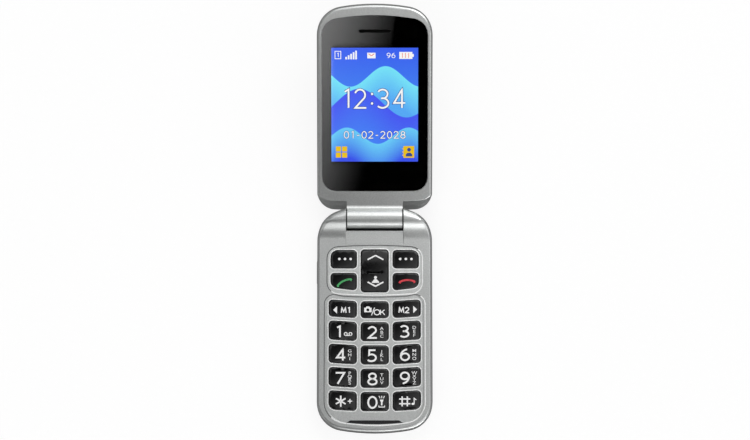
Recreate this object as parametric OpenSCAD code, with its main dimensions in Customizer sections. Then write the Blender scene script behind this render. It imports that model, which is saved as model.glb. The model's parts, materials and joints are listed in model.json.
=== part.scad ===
// Clamshell mobile phone, open and lying on its back. Millimetres; Z up, +Y toward the lid's far end.
// The base is drawn about the hinge axis (y = 0, z = 0 on its flat back), the lid about the hinge axis itself.

/* [Body] */
// Width of both halves
body_w = 56; // [54:0.5:60]
// Hinge axis to the far end of either half
reach = 104.5; // [102:0.5:111]
// Base thickness at the keypad
base_t = 10.2; // [10:0.1:12]
// Lid thickness at the window
lid_t = 9; // [8.8:0.1:11]
// Gap between the halves when closed
closed_gap = 0.8; // [0.7:0.1:1.2]
// Opening angle as drawn (180 is flat)
open_angle = 160; // [100:5:170]
// Radius of the arc across each far end
tip_r = 97; // [70:1:140]
// Plan radius of the far corners
corner_r = 13.6; // [10:0.2:18]

/* [Hinge] */
// Radius of the lid's barrel and the base's shoulders
knuckle_r = 4.9; // [4.7:0.1:5.2]
// Length of the lid's barrel
barrel_w = 27.4; // [22:0.2:32]
// Side play between barrel and shoulders
barrel_play = 0.3; // [0.2:0.05:0.6]
// Radius of the hollow blend from keypad to shoulders
ramp_r = 10; // [7:0.5:12]
// Hinge shaft diameter
shaft_d = 3; // [2.4:0.1:3.4]
// Hinge axis to the crease across the lid's lower corners
relief_u = 8.4; // [8:0.1:10]

/* [Keypad] */
// Depth of the two sunken key fields
field_depth = 0.35; // [0.2:0.05:0.6]
// Far end of the base to the number field
field_margin = 3.4; // [3:0.05:5]
// Side of the base to the number field
field_side = 4.5; // [4:0.05:5.5]
// Height of the key tops over the keypad face
key_rise = 0.2; // [0:0.05:0.35]
// Key travel
key_travel = 0.4; // [0.25:0.05:0.4]
// Slot all round each key
key_slot = 0.18; // [0.12:0.02:0.3]
// Space between the key columns
col_gap = 2.1; // [1.5:0.05:2.6]
// Space between the number rows
row_gap = 2.3; // [1.5:0.05:2.8]
// Outer keys to the edge of the number field
edge_gap = 1.3; // [1:0.05:2]
// Last key row to the base's far end
mouth_room = 10.2; // [9.8:0.1:13]
// Radius the key rows are bowed along
bow_r = 245; // [150:5:500]
// Plan radius of the key corners
key_r = 1.7; // [1:0.1:2.5]

/* [Display] */
// Side of the lid to the window
window_side = 2.3; // [2:0.1:3]
// Hinge axis to the window
window_near = 13.3; // [12.5:0.1:15]
// Window to the lid's far end
window_far = 5.1; // [4.6:0.1:6.5]
// Visible picture width
screen_w = 42.1; // [40:0.1:43]
// Visible picture height
screen_h = 55.7; // [53.5:0.1:57.5]
// Picture to the window's far edge
screen_far = 15.8; // [15.2:0.1:18]
// Earpiece slot length
ear_w = 15.7; // [12:0.1:18]

/* [Battery] */
// Side of the base to the battery pack
battery_side = 9.7; // [9.3:0.1:12]
// Battery bay to the cover's open end
board_l = 29.5; // [29:0.5:34]
// Battery pack thickness
battery_t = 4.3; // [3.8:0.1:4.3]
// Battery cover thickness
cover_t = 1.1; // [0.9:0.1:1.1]

/* [Hidden] */
$fn = 48;

half_w = body_w / 2;
hinge_z = base_t + closed_gap / 2;     // hinge axis over the base's flat back
hinge_y = reach / 2;                   // the base's flat back is centred on the origin
part_z = hinge_z - knuckle_r * sin(45);  // base: parting plane of front and rear housings
seam = 0.05;                           // half the gap left at parting planes
knuckle_x = barrel_w / 2 + barrel_play;  // inner faces of the shoulders
barrel_clear = 6;                      // radius cut in the base for the barrel
wall = 1.6;                            // housing wall
edge_r = 1.6;                          // fillet round the keypad face
lid_top = -closed_gap / 2;             // lid's inner face, from the hinge axis
lid_low = lid_top - lid_t;             // lid's outer face
lid_part = lid_top - 4.6;              // lid: parting plane of front housing and outer cover

// ---------- plane curves ----------
function mix(a, b, t) = a + (b - a) * t;
function polar(r, a) = r * [cos(a), sin(a)];
function unit(v) = v / norm(v);
// Arc that rounds vertex b of a counter-clockwise polygon, moved outward by grow
function corner(a, b, c, r, grow = 0, n = 5) = let (
    p = unit(a - b), q = unit(c - b), half = acos(p * q) / 2,
    m = b + unit(p + q) * r / sin(half), out = -(p + q), mid = atan2(out[1], out[0]))
  [for (i = [0:n]) m + polar(r + grow, mid + (90 - half) * (2 * i / n - 1))];
function rounded(pts, rs, grow = 0) = let (n = len(pts))
  [for (i = [0:n - 1]) each corner(pts[(i + n - 1) % n], pts[i], pts[(i + 1) % n], rs[i], grow)];
function box(w, y0, y1) = [[-w / 2, y0], [w / 2, y0], [w / 2, y1], [-w / 2, y1]];
function same(r, n = 4) = [for (i = [1:n]) r];
// Loop from a right half that starts and ends on x = 0
function mirrored(half) = concat(half,
  [for (i = [len(half) - 1:-1:0]) if (half[i][0] > 0.001) [-half[i][0], half[i][1]]]);
// Rectangle with both end edges arched outward on radius arch
function arched(w, y0, y1, arch0, arch1, r0, r1, grow = 0) = let (
    h = w / 2, s0 = asin((h - r0) / arch0), s1 = asin((h - r1) / arch1),
    v0 = y0 - arch0 * (1 / cos(s0) - 1), v1 = y1 + arch1 * (1 / cos(s1) - 1))
  rounded([[0, v0], [h, v0 + h * tan(s0)], [h, v1 - h * tan(s1)], [0, v1], [-h, v1 - h * tan(s1)],
    [-h, v0 + h * tan(s0)]], [arch0, r0, r1, arch1, r1, r0], grow);

// ---------- outlines as stations [centre, radius, angle, share of hinge-end profile] ----------
function half_outline(end_y, end_x, end_r, end_corner) = let (
    tip_a = asin((half_w - corner_r) / (tip_r - corner_r)),
    tip_c = [0, tip_r - reach],
    far_c = tip_c + polar(tip_r - corner_r, tip_a - 90),
    end_a = asin((half_w - end_corner) / (end_r - end_corner)),
    end_c = [0, end_y - sqrt(end_r * end_r - end_x * end_x)],
    near_c = end_c + polar(end_r - end_corner, 90 - end_a),
    last_x = (half_w + end_x) * 0.4)
  concat(
    [for (i = [0:3]) [tip_c, tip_r, tip_a * i / 4 - 90, 0]],
    [for (i = [0:10]) [far_c, corner_r, mix(tip_a - 90, 0, i / 10), 0]],
    [for (i = [1:2]) [[far_c[0], mix(far_c[1], near_c[1], i / 3)], corner_r, 0, 0]],
    [for (i = [0:12]) [near_c, end_corner, (90 - end_a) * i / 12, i / 12]],
    [for (x = [last_x, max(end_x, 8)]) [[x, end_c[1] + sqrt(end_r * end_r - x * x) - 20], 20, 90, 1]],
    [[[0, end_y - 19.5], 20, 90, 1]]);
// A station moved in by inset, at the hinge end by inset sideways and end_inset lengthways
function at(s, inset = 0, end_inset = undef) = let (e = s[2] > 0 && end_inset != undef ? end_inset : inset)
  [max(s[0][0] + (s[1] - inset) * cos(s[2]), 0), s[0][1] + (s[1] - e) * sin(s[2])];
base_line = half_outline(knuckle_r, knuckle_x, 48, 15);
lid_end = 2.6;                         // the lid's body stops this far from the hinge axis
lid_line = half_outline(-lid_end, 0, 400, 9);
function plan(line, inset) = mirrored([for (s = line) at(s, inset)]);

// Solid through a stack of rings; each ring is a right half given as [x, y, z] points
module loft(rings) {
  n = len(rings[0]);
  m = 2 * n - 2;
  top = (len(rings) - 1) * m;
  function other(i) = i == 0 || i == n - 1 ? i : m - i;
  points = [for (r = rings) each concat(r, [for (i = [n - 2:-1:1]) [-r[i][0], r[i][1], r[i][2]]])];
  sides = [for (k = [0:len(rings) - 2], j = [0:m - 1]) let (a = k * m + j, b = k * m + (j + 1) % m)
    each [[a, a + m, b], [b, a + m, b + m]]];
  function strip(i) = i == 0 ? [[0, 1, other(1)]] : i == n - 2 ? [[i, i + 1, other(i)]]
    : [[i, i + 1, other(i + 1)], [i, other(i + 1), other(i)]];
  caps = [for (i = [0:n - 2]) each concat(strip(i), [for (t = strip(i)) [t[0] + top, t[2] + top, t[1] + top]])];
  polyhedron(points = points, faces = concat(sides, caps), convexity = 6);
}
// The rings with those at height z moved by dz
function eased(rings, z, dz) = [for (r = rings) [for (p = r) abs(p[2] - z) < 0.001 ? p + [0, 0, dz] : p]];
module prism(pts, z0, z1) translate([0, 0, z0]) linear_extrude(z1 - z0) polygon(pts);
module block(x0, x1, y0, y1, z0, z1) translate([x0, y0, z0]) cube([x1 - x0, y1 - y0, z1 - z0]);
module post(x, y, d, z0, z1) translate([x, y, z0]) cylinder(d = d, h = z1 - z0);
module along_x(x0, x1, d) translate([x0, 0, 0]) rotate([0, 90, 0]) cylinder(d = d, h = x1 - x0);
module in_base() translate([0, hinge_y, 0]) children();
module in_lid() translate([0, hinge_y, hinge_z]) rotate([180 - open_angle, 0, 0]) children();

// ---------- base form ----------
ramp_d = sqrt(pow(ramp_r + knuckle_r, 2) - pow(base_t + ramp_r - hinge_z, 2));
ramp_y = -ramp_d * knuckle_r / (ramp_r + knuckle_r);
function deck_z(y) = y >= 0 ? hinge_z + knuckle_r
  : y > ramp_y ? hinge_z + sqrt(knuckle_r * knuckle_r - y * y)
  : y > -ramp_d ? base_t + ramp_r - sqrt(ramp_r * ramp_r - pow(y + ramp_d, 2)) : base_t;
back_in = 3;                           // rounding of the back's edge: inset and height
back_up = 3.5;
heel_r = 3;
heel_y = knuckle_r * sqrt(2) - hinge_z - heel_r * tan(22.5);
shoulder_r = 4;                        // rounding over the shoulders' ends
heel = concat([for (i = [0:3]) [heel_y + heel_r * sin(15 * i), heel_r * (1 - cos(15 * i))]],
  [for (z = [part_z / 2, part_z]) [z - hinge_z + knuckle_r * sqrt(2), z]]);
flank = concat([for (i = [0:4]) [back_in * (1 - sin(22.5 * i)), back_up * (1 - cos(22.5 * i))]], [[0, part_z]]);
// Ring point of a station from [inset, height] on the flanks and at the hinge end
function ring_point(s, side, end) = let (p = at(s, side[0], end[0])) [p[0], p[1], mix(side[1], end[1], s[3])];
low_rings = [for (k = [0:5]) [for (s = base_line) ring_point(s, flank[k], [knuckle_r - heel[k][0], heel[k][1]])]];
mid_rings = [for (k = [1:2]) [for (s = base_line) let (a = 15 * k - 45, f = mix(edge_r, shoulder_r, s[3]),
    z_side = mix(part_z, deck_z(at(s)[1]) - f, k / 3))
  ring_point(s, [0, z_side], [knuckle_r * (1 - cos(a)), hinge_z + knuckle_r * sin(a)])]];
top_rings = [for (k = [0:6]) [for (s = base_line) let (a = 15 * k, f = mix(edge_r, shoulder_r, s[3]),
    p = at(s, edge_r * (1 - cos(a)), shoulder_r * (1 - cos(a)))) [p[0], p[1], deck_z(p[1]) - f * (1 - sin(a))]]];

// ---------- layers of the base, from the back up ----------
tray_z = 4.2;                          // top of the battery cover's sides
tray_y = -14;                          // the cover's open end
rib_z = 2.8;                           // guide ribs of the cover
chassis_in = 2.4;                      // fixed frame inside the cover's sides
pcb_z = part_z - 0.55;
pcb_t = 0.7;
dome_t = 0.1;
dome_z = pcb_z + pcb_t + 0.05;
dome_h = 0.28;
mat_z = dome_z + dome_t + 0.05;
mat_t = 0.4;
deck_under = base_t - 1.3;             // underside of the keypad deck
flange_top = deck_under - 0.1;
flange_t = 0.3;
pad_z = dome_z + dome_t + dome_h + key_travel + 0.1;  // where the keys press
key_top = base_t + key_rise;
cavity_y0 = 8 - reach;                 // ends of the keypad cavity
cavity_y1 = -13;

// ---------- keys ----------
// Rows as [far edge, near edge]; the soft, call and navigation keys make the upper field
soft_y = [-24.45, -15.6];
call_y = [-35.75, -26.9];
nav_y = [-36.25, -15.3];
memory_y = [-49, -40.95];
digit_y0 = -51.2;
key_w = (body_w - 2 * (field_side + edge_gap + col_gap)) / 3;
col_pitch = key_w + col_gap;
row_pitch = (reach - mouth_room + digit_y0 + row_gap) / 4;
key_l = row_pitch - row_gap;
function digit_y(row) = [digit_y0 - row * row_pitch - key_l, digit_y0 - row * row_pitch];
function bow(x) = x * x / (2 * bow_r);
// Key outline on the left side (column -1) or in the middle (0); bends give the bow of its two long edges
function key_quad(col, y, w, bends) = let (x0 = col * col_pitch - w / 2, x1 = x0 + w) [
  [x0, y[0] + bends[0] * bow(x0)], [x1, y[0] + bends[0] * bow(x1)],
  [x1, y[1] + bends[1] * bow(x1)], [x0, y[1] + bends[1] * bow(x0)]];
soft_w = key_w - 0.85;
outer_x = 0.4;                         // the upper keys' columns sit this much further in
function upper(quad) = [for (p = quad) [p[0] + outer_x, p[1]]];
KEYS = [ // [outline, radii far-outer, far-inner, near-inner, near-outer]
  [upper(key_quad(-1, soft_y, soft_w, [0, 0])), [key_r, key_r, key_r, 3.4]],
  [upper(key_quad(-1, call_y, soft_w, [2, 0])), [3.4, key_r, key_r, key_r]],
  [key_quad(-1, memory_y, key_w, [1, 1]), same(key_r)],
  [key_quad(0, memory_y, key_w, [1, 1]), same(key_r)],
  [key_quad(-1, digit_y(0), key_w, [1, 1]), same(key_r)], [key_quad(0, digit_y(0), key_w, [1, 1]), same(key_r)],
  [key_quad(-1, digit_y(1), key_w, [1, 1]), same(key_r)], [key_quad(0, digit_y(1), key_w, [1, 1]), same(key_r)],
  [key_quad(-1, digit_y(2), key_w, [1, 1]), same(key_r)], [key_quad(0, digit_y(2), key_w, [1, 1]), same(key_r)],
  [key_quad(-1, digit_y(3), key_w, [1, 1]), [3.4, key_r, key_r, key_r]],
  [key_quad(0, digit_y(3), key_w, [1, 1]), same(key_r)]];
NAV = [key_quad(0, nav_y, key_w, [0, 0]), same(key_r)];
nav_c = (nav_y[0] + nav_y[1]) / 2;
function centre(k) = (k[0][0] + k[0][1] + k[0][2] + k[0][3]) / 4;
function is_outer(k) = k[0][1][0] < 0;
crown_r = 90;                          // key tops are crowned
module key_form(k, z0) {
  c = centre(k);
  intersection() {
    prism(rounded(k[0], k[1]), z0, key_top + 1);
    translate([c[0], c[1], key_top - crown_r]) sphere(r = crown_r, $fn = 240);
  }
}
module key(k) {
  c = centre(k);
  key_form(k, flange_top - flange_t);
  prism(rounded(k[0], k[1], 0.65), flange_top - flange_t, flange_top);
  post(c[0], c[1], 2.4, pad_z, flange_top);
}
module both_sides(k) {
  children();
  if (is_outer(k)) mirror([1, 0, 0]) children();
}
module every_key(grow, z0, z1) {
  for (k = KEYS) both_sides(k) prism(rounded(k[0], k[1], grow), z0, z1);
  prism(rounded(NAV[0], NAV[1], grow), z0, z1);
}
nav_pad = 6.5;                         // the rocker presses this far from its middle
function pads() = concat([for (k = KEYS) each (is_outer(k) ? [centre(k), [-centre(k)[0], centre(k)[1]]]
  : [centre(k)])], [[0, nav_c - nav_pad], [0, nav_c + nav_pad]]);

// ---------- base: housings ----------
upper_margin = 5;
upper_field = arched(body_w - 2 * upper_margin, -37.6, -13.4, bow_r, bow_r, 5.5, 5.5);
lower_top = -38.9;
field_x = half_w - field_side;
lower_field = mirrored(concat([for (i = [0:14]) let (p = at(base_line[i], field_margin))
    [p[0] * field_x / (half_w - field_margin), p[1]]],
  corner([field_x, digit_y0], [field_x, lower_top + bow(half_w)], [0, lower_top], 4.5), [for (x = [15, 10, 5, 0]) [x, lower_top + bow(x)]]));
lip_y = 5.5 - reach;                   // straight edge of the mouthpiece slot
lip = mirrored(concat([for (i = [0:6]) let (x = 13.5 * i / 6) [x, 3.65 - reach + bow(x) * 2.2]],
  [[11.7, lip_y], [0, lip_y]]));
mic_x = 9;
mic_y = 4.7 - reach;
usb_w = 7.6;
usb_l = 8.8;
usb_y = 0.5 - reach;                   // the socket's mouth
screws = [[half_w - 6.5, -10.6], [half_w - 13.5, 6.8 - reach]];
screw_d = 1.5;
head_d = 3;
shaft_x = [4.6, 18.9];                 // hinge shaft ends
head_x = 17.9;
bush_x = [-17, -11.5];
bush_r = 2.85;
bush_bore = 3.8;
flex_w = 2;
flex_x = bush_x[1] + 0.4;              // the flat cable leaves the barrel beside the bush

module barrel_space() {
  translate([0, 0, hinge_z]) along_x(-knuckle_x, knuckle_x, 2 * barrel_clear);
  block(-knuckle_x, knuckle_x, -ramp_d - 1, 20, base_t, hinge_z + 20);
  block(-knuckle_x, knuckle_x, 0, 20, part_z, hinge_z + 20);
}
module base_front_housing() color("silver") in_base() difference() {
  loft(concat([low_rings[5]], mid_rings, top_rings));
  barrel_space();
  intersection() {
    prism(plan(base_line, wall), part_z - 1, deck_under);
    block(-half_w, half_w, cavity_y0, cavity_y1, part_z - 1, deck_under);
  }
  for (f = [upper_field, lower_field]) prism(f, base_t - field_depth, base_t + 1);
  every_key(key_slot, deck_under - 1, base_t + 1);
  prism(lip, base_t - 1.5, base_t + 1);
  post(mic_x, mic_y, 1, part_z - 1, base_t);
  for (p = screws, side = [-1, 1]) post(side * p[0], p[1], screw_d + 0.04, part_z - 1, part_z + 1.9);
  translate([0, 0, hinge_z]) {
    along_x(knuckle_x - 1, head_x - 0.1, shaft_d + 0.1);
    along_x(head_x - 0.1, shaft_x[1] + 0.1, shaft_d + 1.4);
    along_x(bush_x[0] - 0.1, 1 - knuckle_x, 2 * bush_r + 0.1);
  }
}

bay_y = [9.8 - reach, tray_y - board_l];  // battery bay
battery_w = body_w - 2 * battery_side;
board_y = bay_y[1] + 2.8;              // start of the parts between battery and hinge
can_x = half_w - 6.8;
sim_x = half_w - 7.8;
sim_l = 7.8;
bay_z = cover_t + 0.2 + battery_t + 0.25;
speaker = [12.5, -24];
speaker_r = 6.9;
motor = [half_w - 6.1, bay_y[1] - 13.5];
volume_y = [-31.9, -20.1];
volume_z = [tray_z + 0.6, 6.25];
module base_rear_housing() color("dimgray") in_base() difference() {
  loft(eased(low_rings, part_z, -seam));
  translate([0, 0, hinge_z]) along_x(-knuckle_x, knuckle_x, 2 * barrel_clear);
  difference() {
    block(-half_w - 1, half_w + 1, -reach - 1, tray_y, -1, tray_z + 0.1);
    prism(plan(base_line, chassis_in), cover_t + 0.3, 10);
  }
  for (side = [-1, 1]) {
    block(side < 0 ? -half_w : half_w - chassis_in - 0.7, side < 0 ? 0.7 + chassis_in - half_w : half_w,
      -reach - 1, tray_y + 1, rib_z - 0.15, rib_z + 0.75);
    for (p = screws) {
      post(side * p[0], p[1], screw_d + 0.3, -1, 20);
      post(side * p[0], p[1], head_d + 0.3, -1, 2.9);
    }
  }
  intersection() {
    prism(plan(base_line, wall), pcb_z - 0.1, 20);
    block(-half_w, half_w, cavity_y0, cavity_y1, pcb_z - 0.1, 20);
  }
  block(-battery_w / 2 - 0.3, battery_w / 2 + 0.3, bay_y[0], bay_y[1], -1, bay_z);
  block(-5.2, 5.2, bay_y[1] - 1, bay_y[1] + 1.9, 2.2, 20);
  block(-can_x - 0.3, -1.5, board_y - 0.3, tray_y - 2, 2.4, 20);
  block(1.5, sim_x + 0.3, board_y - 0.3, board_y + sim_l + 0.3, 4.4, 20);
  post(speaker[0], speaker[1], 2 * speaker_r + 0.2, -1, 5.3);
  block(motor[0] - 2.3, motor[0] + 2.3, motor[1] - 6, motor[1] + 6, 1.9, 20);
  block(-19, 19, -12.8, -8, 1.7, 20);
  block(-usb_w / 2 - 0.1, usb_w / 2 + 0.1, -reach - 1, usb_y + usb_l + 0.1, tray_z + 0.35, 20);
  post(mic_x, mic_y, 3.9, 4.9, 20);
  block(-half_w - 1, -half_w + 2.4, volume_y[0] - 0.3, volume_y[1] + 0.3, volume_z[0] - 0.2, volume_z[1] + 0.2);
}
module battery_cover() color("gray") in_base() difference() {
  intersection() {
    loft(low_rings);
    block(-half_w - 1, half_w + 1, -reach - 1, tray_y - 0.1, -1, tray_z);
  }
  difference() {
    prism(plan(base_line, chassis_in - 0.35), cover_t, 20);
    for (side = [-1, 1]) block(side < 0 ? -half_w : half_w - chassis_in - 0.3,
      side < 0 ? 0.3 + chassis_in - half_w : half_w, 20.5 - reach, tray_y - 2, rib_z, rib_z + 0.6);
  }
  for (i = [0:4]) block(-7, 7, 14 + 2.2 * i - reach, 15 + 2.2 * i - reach, -1, 0.35);
  for (i = [-3:3]) block(speaker[0] - 4.6, speaker[0] + 4.6, speaker[1] + 1.5 * i - 0.35,
    speaker[1] + 1.5 * i + 0.35, -1, cover_t + 1);
}

// ---------- base: what is inside ----------
module battery() color("darkslategray") in_base() {
  prism(rounded(box(battery_w, bay_y[0] + 0.4, bay_y[1] - 0.4), same(1.5)),
    cover_t + 0.25, cover_t + 0.25 + battery_t);
}
module battery_contacts() color("gold") in_base() difference() {
  block(-5, 5, bay_y[1] - 0.3, bay_y[1] + 1.7, 2.4, pcb_z - 0.03);
  for (x = [-2.5, 0, 2.5]) block(x - 0.6, x + 0.6, bay_y[1] - 1, bay_y[1] + 0.8, 2, 5);
}
module main_pcb() color("darkgreen") in_base() difference() {
  intersection() {
    prism(plan(base_line, wall + 0.3), pcb_z, pcb_z + pcb_t);
    block(-half_w, half_w, cavity_y0 + 0.2, cavity_y1 - 0.2, 0, 20);
  }
  for (side = [-1, 1]) post(side * (half_w - 8), -38.6, 1.2, 0, 20);
  block(-usb_w / 2 - 0.2, usb_w / 2 + 0.2, -reach, usb_y + usb_l + 0.3, 0, 20);
}
module shield_cans() color("lightsteelblue") in_base() difference() {
  block(-can_x, -1.8, board_y, tray_y - 2.3, 4.9, pcb_z - 0.03);
  block(-can_x + 0.3, -11.2, board_y + 0.3, tray_y - 2.6, 5.1, 20);
  block(-10.9, -2.1, board_y + 0.3, tray_y - 2.6, 5.1, 20);
}
module keypad_mat() color("whitesmoke") in_base() difference() {
  intersection() {
    prism(plan(base_line, wall + 1.2), mat_z, mat_z + mat_t);
    block(-half_w, half_w, cavity_y0 + 0.8, cavity_y1 - 0.6, 0, 20);
  }
  for (p = pads()) post(p[0], p[1], 6, 0, 20);
  prism(rounded(NAV[0], NAV[1], 1), 0, 20);
}
module dome_sheet() color("gainsboro") in_base() {
  intersection() {
    prism(plan(base_line, wall + 0.9), dome_z, dome_z + dome_t);
    block(-half_w, half_w, cavity_y0 + 0.6, cavity_y1 - 0.5, 0, 20);
  }
  for (p = pads()) translate([p[0], p[1], dome_z + dome_t - 0.02]) cylinder(r1 = 2.4, r2 = 1.5, h = dome_h + 0.02);
}
module microphone() color("silver") in_base() post(mic_x, mic_y, 3.6, 5.1, part_z - 0.1);
module loudspeaker() color("black") in_base() difference() {
  post(speaker[0], speaker[1], 2 * speaker_r, 1.75, 5.1);
  post(speaker[0], speaker[1], 2 * speaker_r - 2, 1, 2.3);
}
module speaker_mesh() color("dimgray") in_base()
  post(speaker[0], speaker[1], 2 * speaker_r - 0.3, cover_t + 0.35, cover_t + 0.55);
module vibration_motor() color("silver") in_base() translate([motor[0], motor[1], 4.3]) rotate([90, 0, 0]) {
  translate([0, 0, -5.6]) cylinder(d = 4, h = 8);
  cylinder(d = 1, h = 5);
  intersection() {
    translate([0, 0, 2.8]) cylinder(d = 4, h = 2.6);
    translate([-3, -3, 2.8]) cube([6, 3.4, 2.6]);
  }
}
module usb_socket() color("silver") in_base() difference() {
  block(-usb_w / 2, usb_w / 2, usb_y, usb_y + usb_l, tray_z + 0.45, part_z - 0.15);
  block(0.3 - usb_w / 2, usb_w / 2 - 0.3, -reach - 1, usb_y + usb_l - 2.3, tray_z + 0.75, part_z - 0.45);
}
module sim_holder() color("silver") in_base() difference() {
  block(1.8, sim_x, board_y, board_y + sim_l, 4.7, pcb_z - 0.03);
  block(3, sim_x + 1, board_y + 1, board_y + sim_l - 1, 5.2, 6);
}
module antenna() color("khaki") in_base() difference() {
  block(9.3 - half_w, half_w - 9.3, -12.5, -8.3, 1.9, 5.9);
  block(11 - half_w, half_w - 11, -11.6, -7, 2.9, 7);
}
module base_screws() color("silver") in_base() for (p = screws, side = [-1, 1]) difference() {
  union() {
    post(side * p[0], p[1], screw_d, 2, part_z + 1.8);
    post(side * p[0], p[1], head_d, 1.9, 2.9);
  }
  post(side * p[0], p[1], 1.2, 1, 2.4, $fn = 6);
}
module volume_key() color("gray") in_base() {
  prism(rounded([for (p = [[-0.25, 0], [2.1, 0], [2.1, 1], [-0.25, 1]]) [p[0] - half_w, volume_y[p[1]]]],
    [0.8, 0.1, 0.1, 0.8]), volume_z[0], volume_z[1]);
  post(2 - half_w, (volume_y[0] + volume_y[1]) / 2, 0.7, volume_z[0], volume_z[1]);  // it rocks on this rib
}
module hinge_bush() color("silver") translate([0, hinge_y, hinge_z]) difference() {
  along_x(bush_x[0], bush_x[1], 2 * bush_r);
  along_x(bush_x[0] - 1, bush_x[1] + 1, bush_bore);
}
module hinge_shaft() color("silver") translate([0, hinge_y, hinge_z]) {
  along_x(shaft_x[0], shaft_x[1], shaft_d);
  along_x(head_x, shaft_x[1], shaft_d + 1.2);
}

// ---------- lid form, far end toward -y until it is turned round ----------
lid_in = 3.2;                          // rounding of the outer face: inset and height
lid_up = 3.4;
lid_edge = 1.3;                        // fillet round the inner face
heel_in = 4.4;
heel_up = 1.6;
slope_in = mix(0, relief_u - lid_end, 0.4);  // inset of the sloping corners at the parting plane
lid_low_rings = concat(
  [for (k = [0:4]) [for (s = lid_line) let (i = 1 - sin(22.5 * k), u = 1 - cos(22.5 * k))
    ring_point(s, [lid_in * i, lid_low + lid_up * u], [heel_in * i, lid_low + heel_up * u])]],
  [[for (s = lid_line) ring_point(s, [0, lid_part], [slope_in, lid_part])]]);
lid_top_rings = [for (k = [0:6]) [for (s = lid_line) let (t = k / 6)
  ring_point(s, [lid_edge * (1 - cos(90 * t)), lid_top - lid_edge * (1 - sin(90 * t))],
    [mix(slope_in + 0.9, relief_u - lid_end, t), lid_top - 3.4 * pow(1 - t, 1.2)])]];
module lid_plan(inset, z0, z1) rotate([0, 0, 180]) prism(plan(lid_line, inset), z0, z1);

lens_t = 1;
mask_t = 0.12;
lens_low = lid_top - lens_t;
mask_low = lens_low - 0.04 - mask_t;
ledge_low = mask_low - 0.85;           // underside of the ledge that carries the window
window_end = reach - window_far;
function window(grow) = arched(body_w - 2 * window_side, window_near, window_end, 4000, 110, 6.8, 8, grow);
function span(mid, size) = [mid - size / 2, mid + size / 2];
screen_u = window_end - screen_far - screen_h / 2;
frame_w = screen_w + 5;                // metal tray round the display
frame_u = span(screen_u, screen_h + 7);
ear_u = window_end - 7.6;
function slot(w, grow = 0) = rounded(box(w + 2 * grow, ear_u - 0.8 - grow, ear_u + 0.8 + grow), same(0.75 + grow));
cart_x = [1.8, barrel_w / 2 - 0.1];
cart_r = 3.1;
web_r = 2;                             // fillet where the chin runs into the barrel
web_u = sqrt(pow(knuckle_r + web_r, 2) - pow(web_r + lid_top, 2));
web = concat([[0, 0], [-0.4, 0.02 - knuckle_r], [lid_end + 1.2, lid_part + seam], [12, lid_part + seam],
    [12, lid_top]],
  [for (i = [0:8]) let (a = mix(-90, 180 + atan2(web_r + lid_top, web_u) - 360, i / 8))
    [web_u, lid_top + web_r] + polar(web_r, a)]);
lid_bolts = [[half_w - 8, 10.4], [half_w - 16, reach - 3.2]];
inner_u = 12.6;                        // start of the lid's inside
flex_v = lid_part - 0.3;                // the flat cable lies on the lid's board
flex_path = [[0, -1], [inner_u + 0.3, ledge_low - 0.25], [inner_u + 4, flex_v], [inner_u + 6.5, flex_v]];

module lid_front_housing() color("silver") in_lid() difference() {
  union() {
    rotate([0, 0, 180]) loft(concat(eased([lid_low_rings[5]], lid_part, seam), lid_top_rings));
    rotate([90, 0, 90]) linear_extrude(barrel_w, center = true) polygon(web);
    along_x(-barrel_w / 2, barrel_w / 2, 2 * knuckle_r);
  }
  prism(window(0.1), mask_low - 0.05, 1);
  prism(box(frame_w + 0.5, frame_u[0] - 0.25, frame_u[1] + 0.25), lid_part - 1, 0);
  intersection() {
    lid_plan(wall, lid_part - 1, ledge_low);
    block(-half_w, half_w, inner_u, reach - 5.4, lid_part - 1, ledge_low);
  }
  prism(slot(ear_w, -0.2), lid_part - 1, 0);
  along_x(cart_x[0] - 0.1, half_w, 2 * cart_r + 0.1);
  along_x(-half_w, flex_x + flex_w + 0.3, 2 * bush_r + 0.1);
  ribbon([for (i = [0, 1]) flex_path[i] + [0.4 * i, 0.35]], 0.8, flex_x - 0.3, flex_w + 0.6);
  for (p = lid_bolts, side = [-1, 1]) post(side * p[0], p[1], screw_d + 0.04, lid_part - 1, lid_part + 2.6);
  block(-3.3, 3.3, reach - 4.9, reach - 2.6, lid_part - 1, lid_part + 1.7);
}
module window_lens() color([0.1, 0.1, 0.1]) in_lid() difference() {
  prism(window(0), lens_low, lid_top);
  prism(slot(ear_w), lens_low - 1, 1);
}
module window_mask() color("black") in_lid() difference() {
  prism(window(-0.1), mask_low, mask_low + mask_t);
  prism(box(screen_w, screen_u - screen_h / 2, screen_u + screen_h / 2), mask_low - 1, 0);
  prism(slot(ear_w), mask_low - 1, 0);
}
module display_module() color("royalblue") in_lid()
  prism(box(frame_w - 1, frame_u[0] + 0.5, frame_u[1] - 0.5), mask_low - 2.3, mask_low - 0.08);
module display_frame() color("lightgray") in_lid() difference() {
  prism(box(frame_w, frame_u[0], frame_u[1]), mask_low - 2.65, mask_low - 0.4);
  prism(box(frame_w - 0.8, frame_u[0] + 0.4, frame_u[1] - 0.4), mask_low - 2.35, 0);
}
module earpiece() color("black") in_lid()
  prism(rounded(box(ear_w - 2.7, ear_u - 2.6, ear_u + 2.6), same(2)), lid_part + 0.3, ledge_low - 0.05);
module earpiece_mesh() color("gray") in_lid() prism(slot(ear_w - 0.2, -0.1), lens_low + 0.1, lens_low + 0.3);

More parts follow.
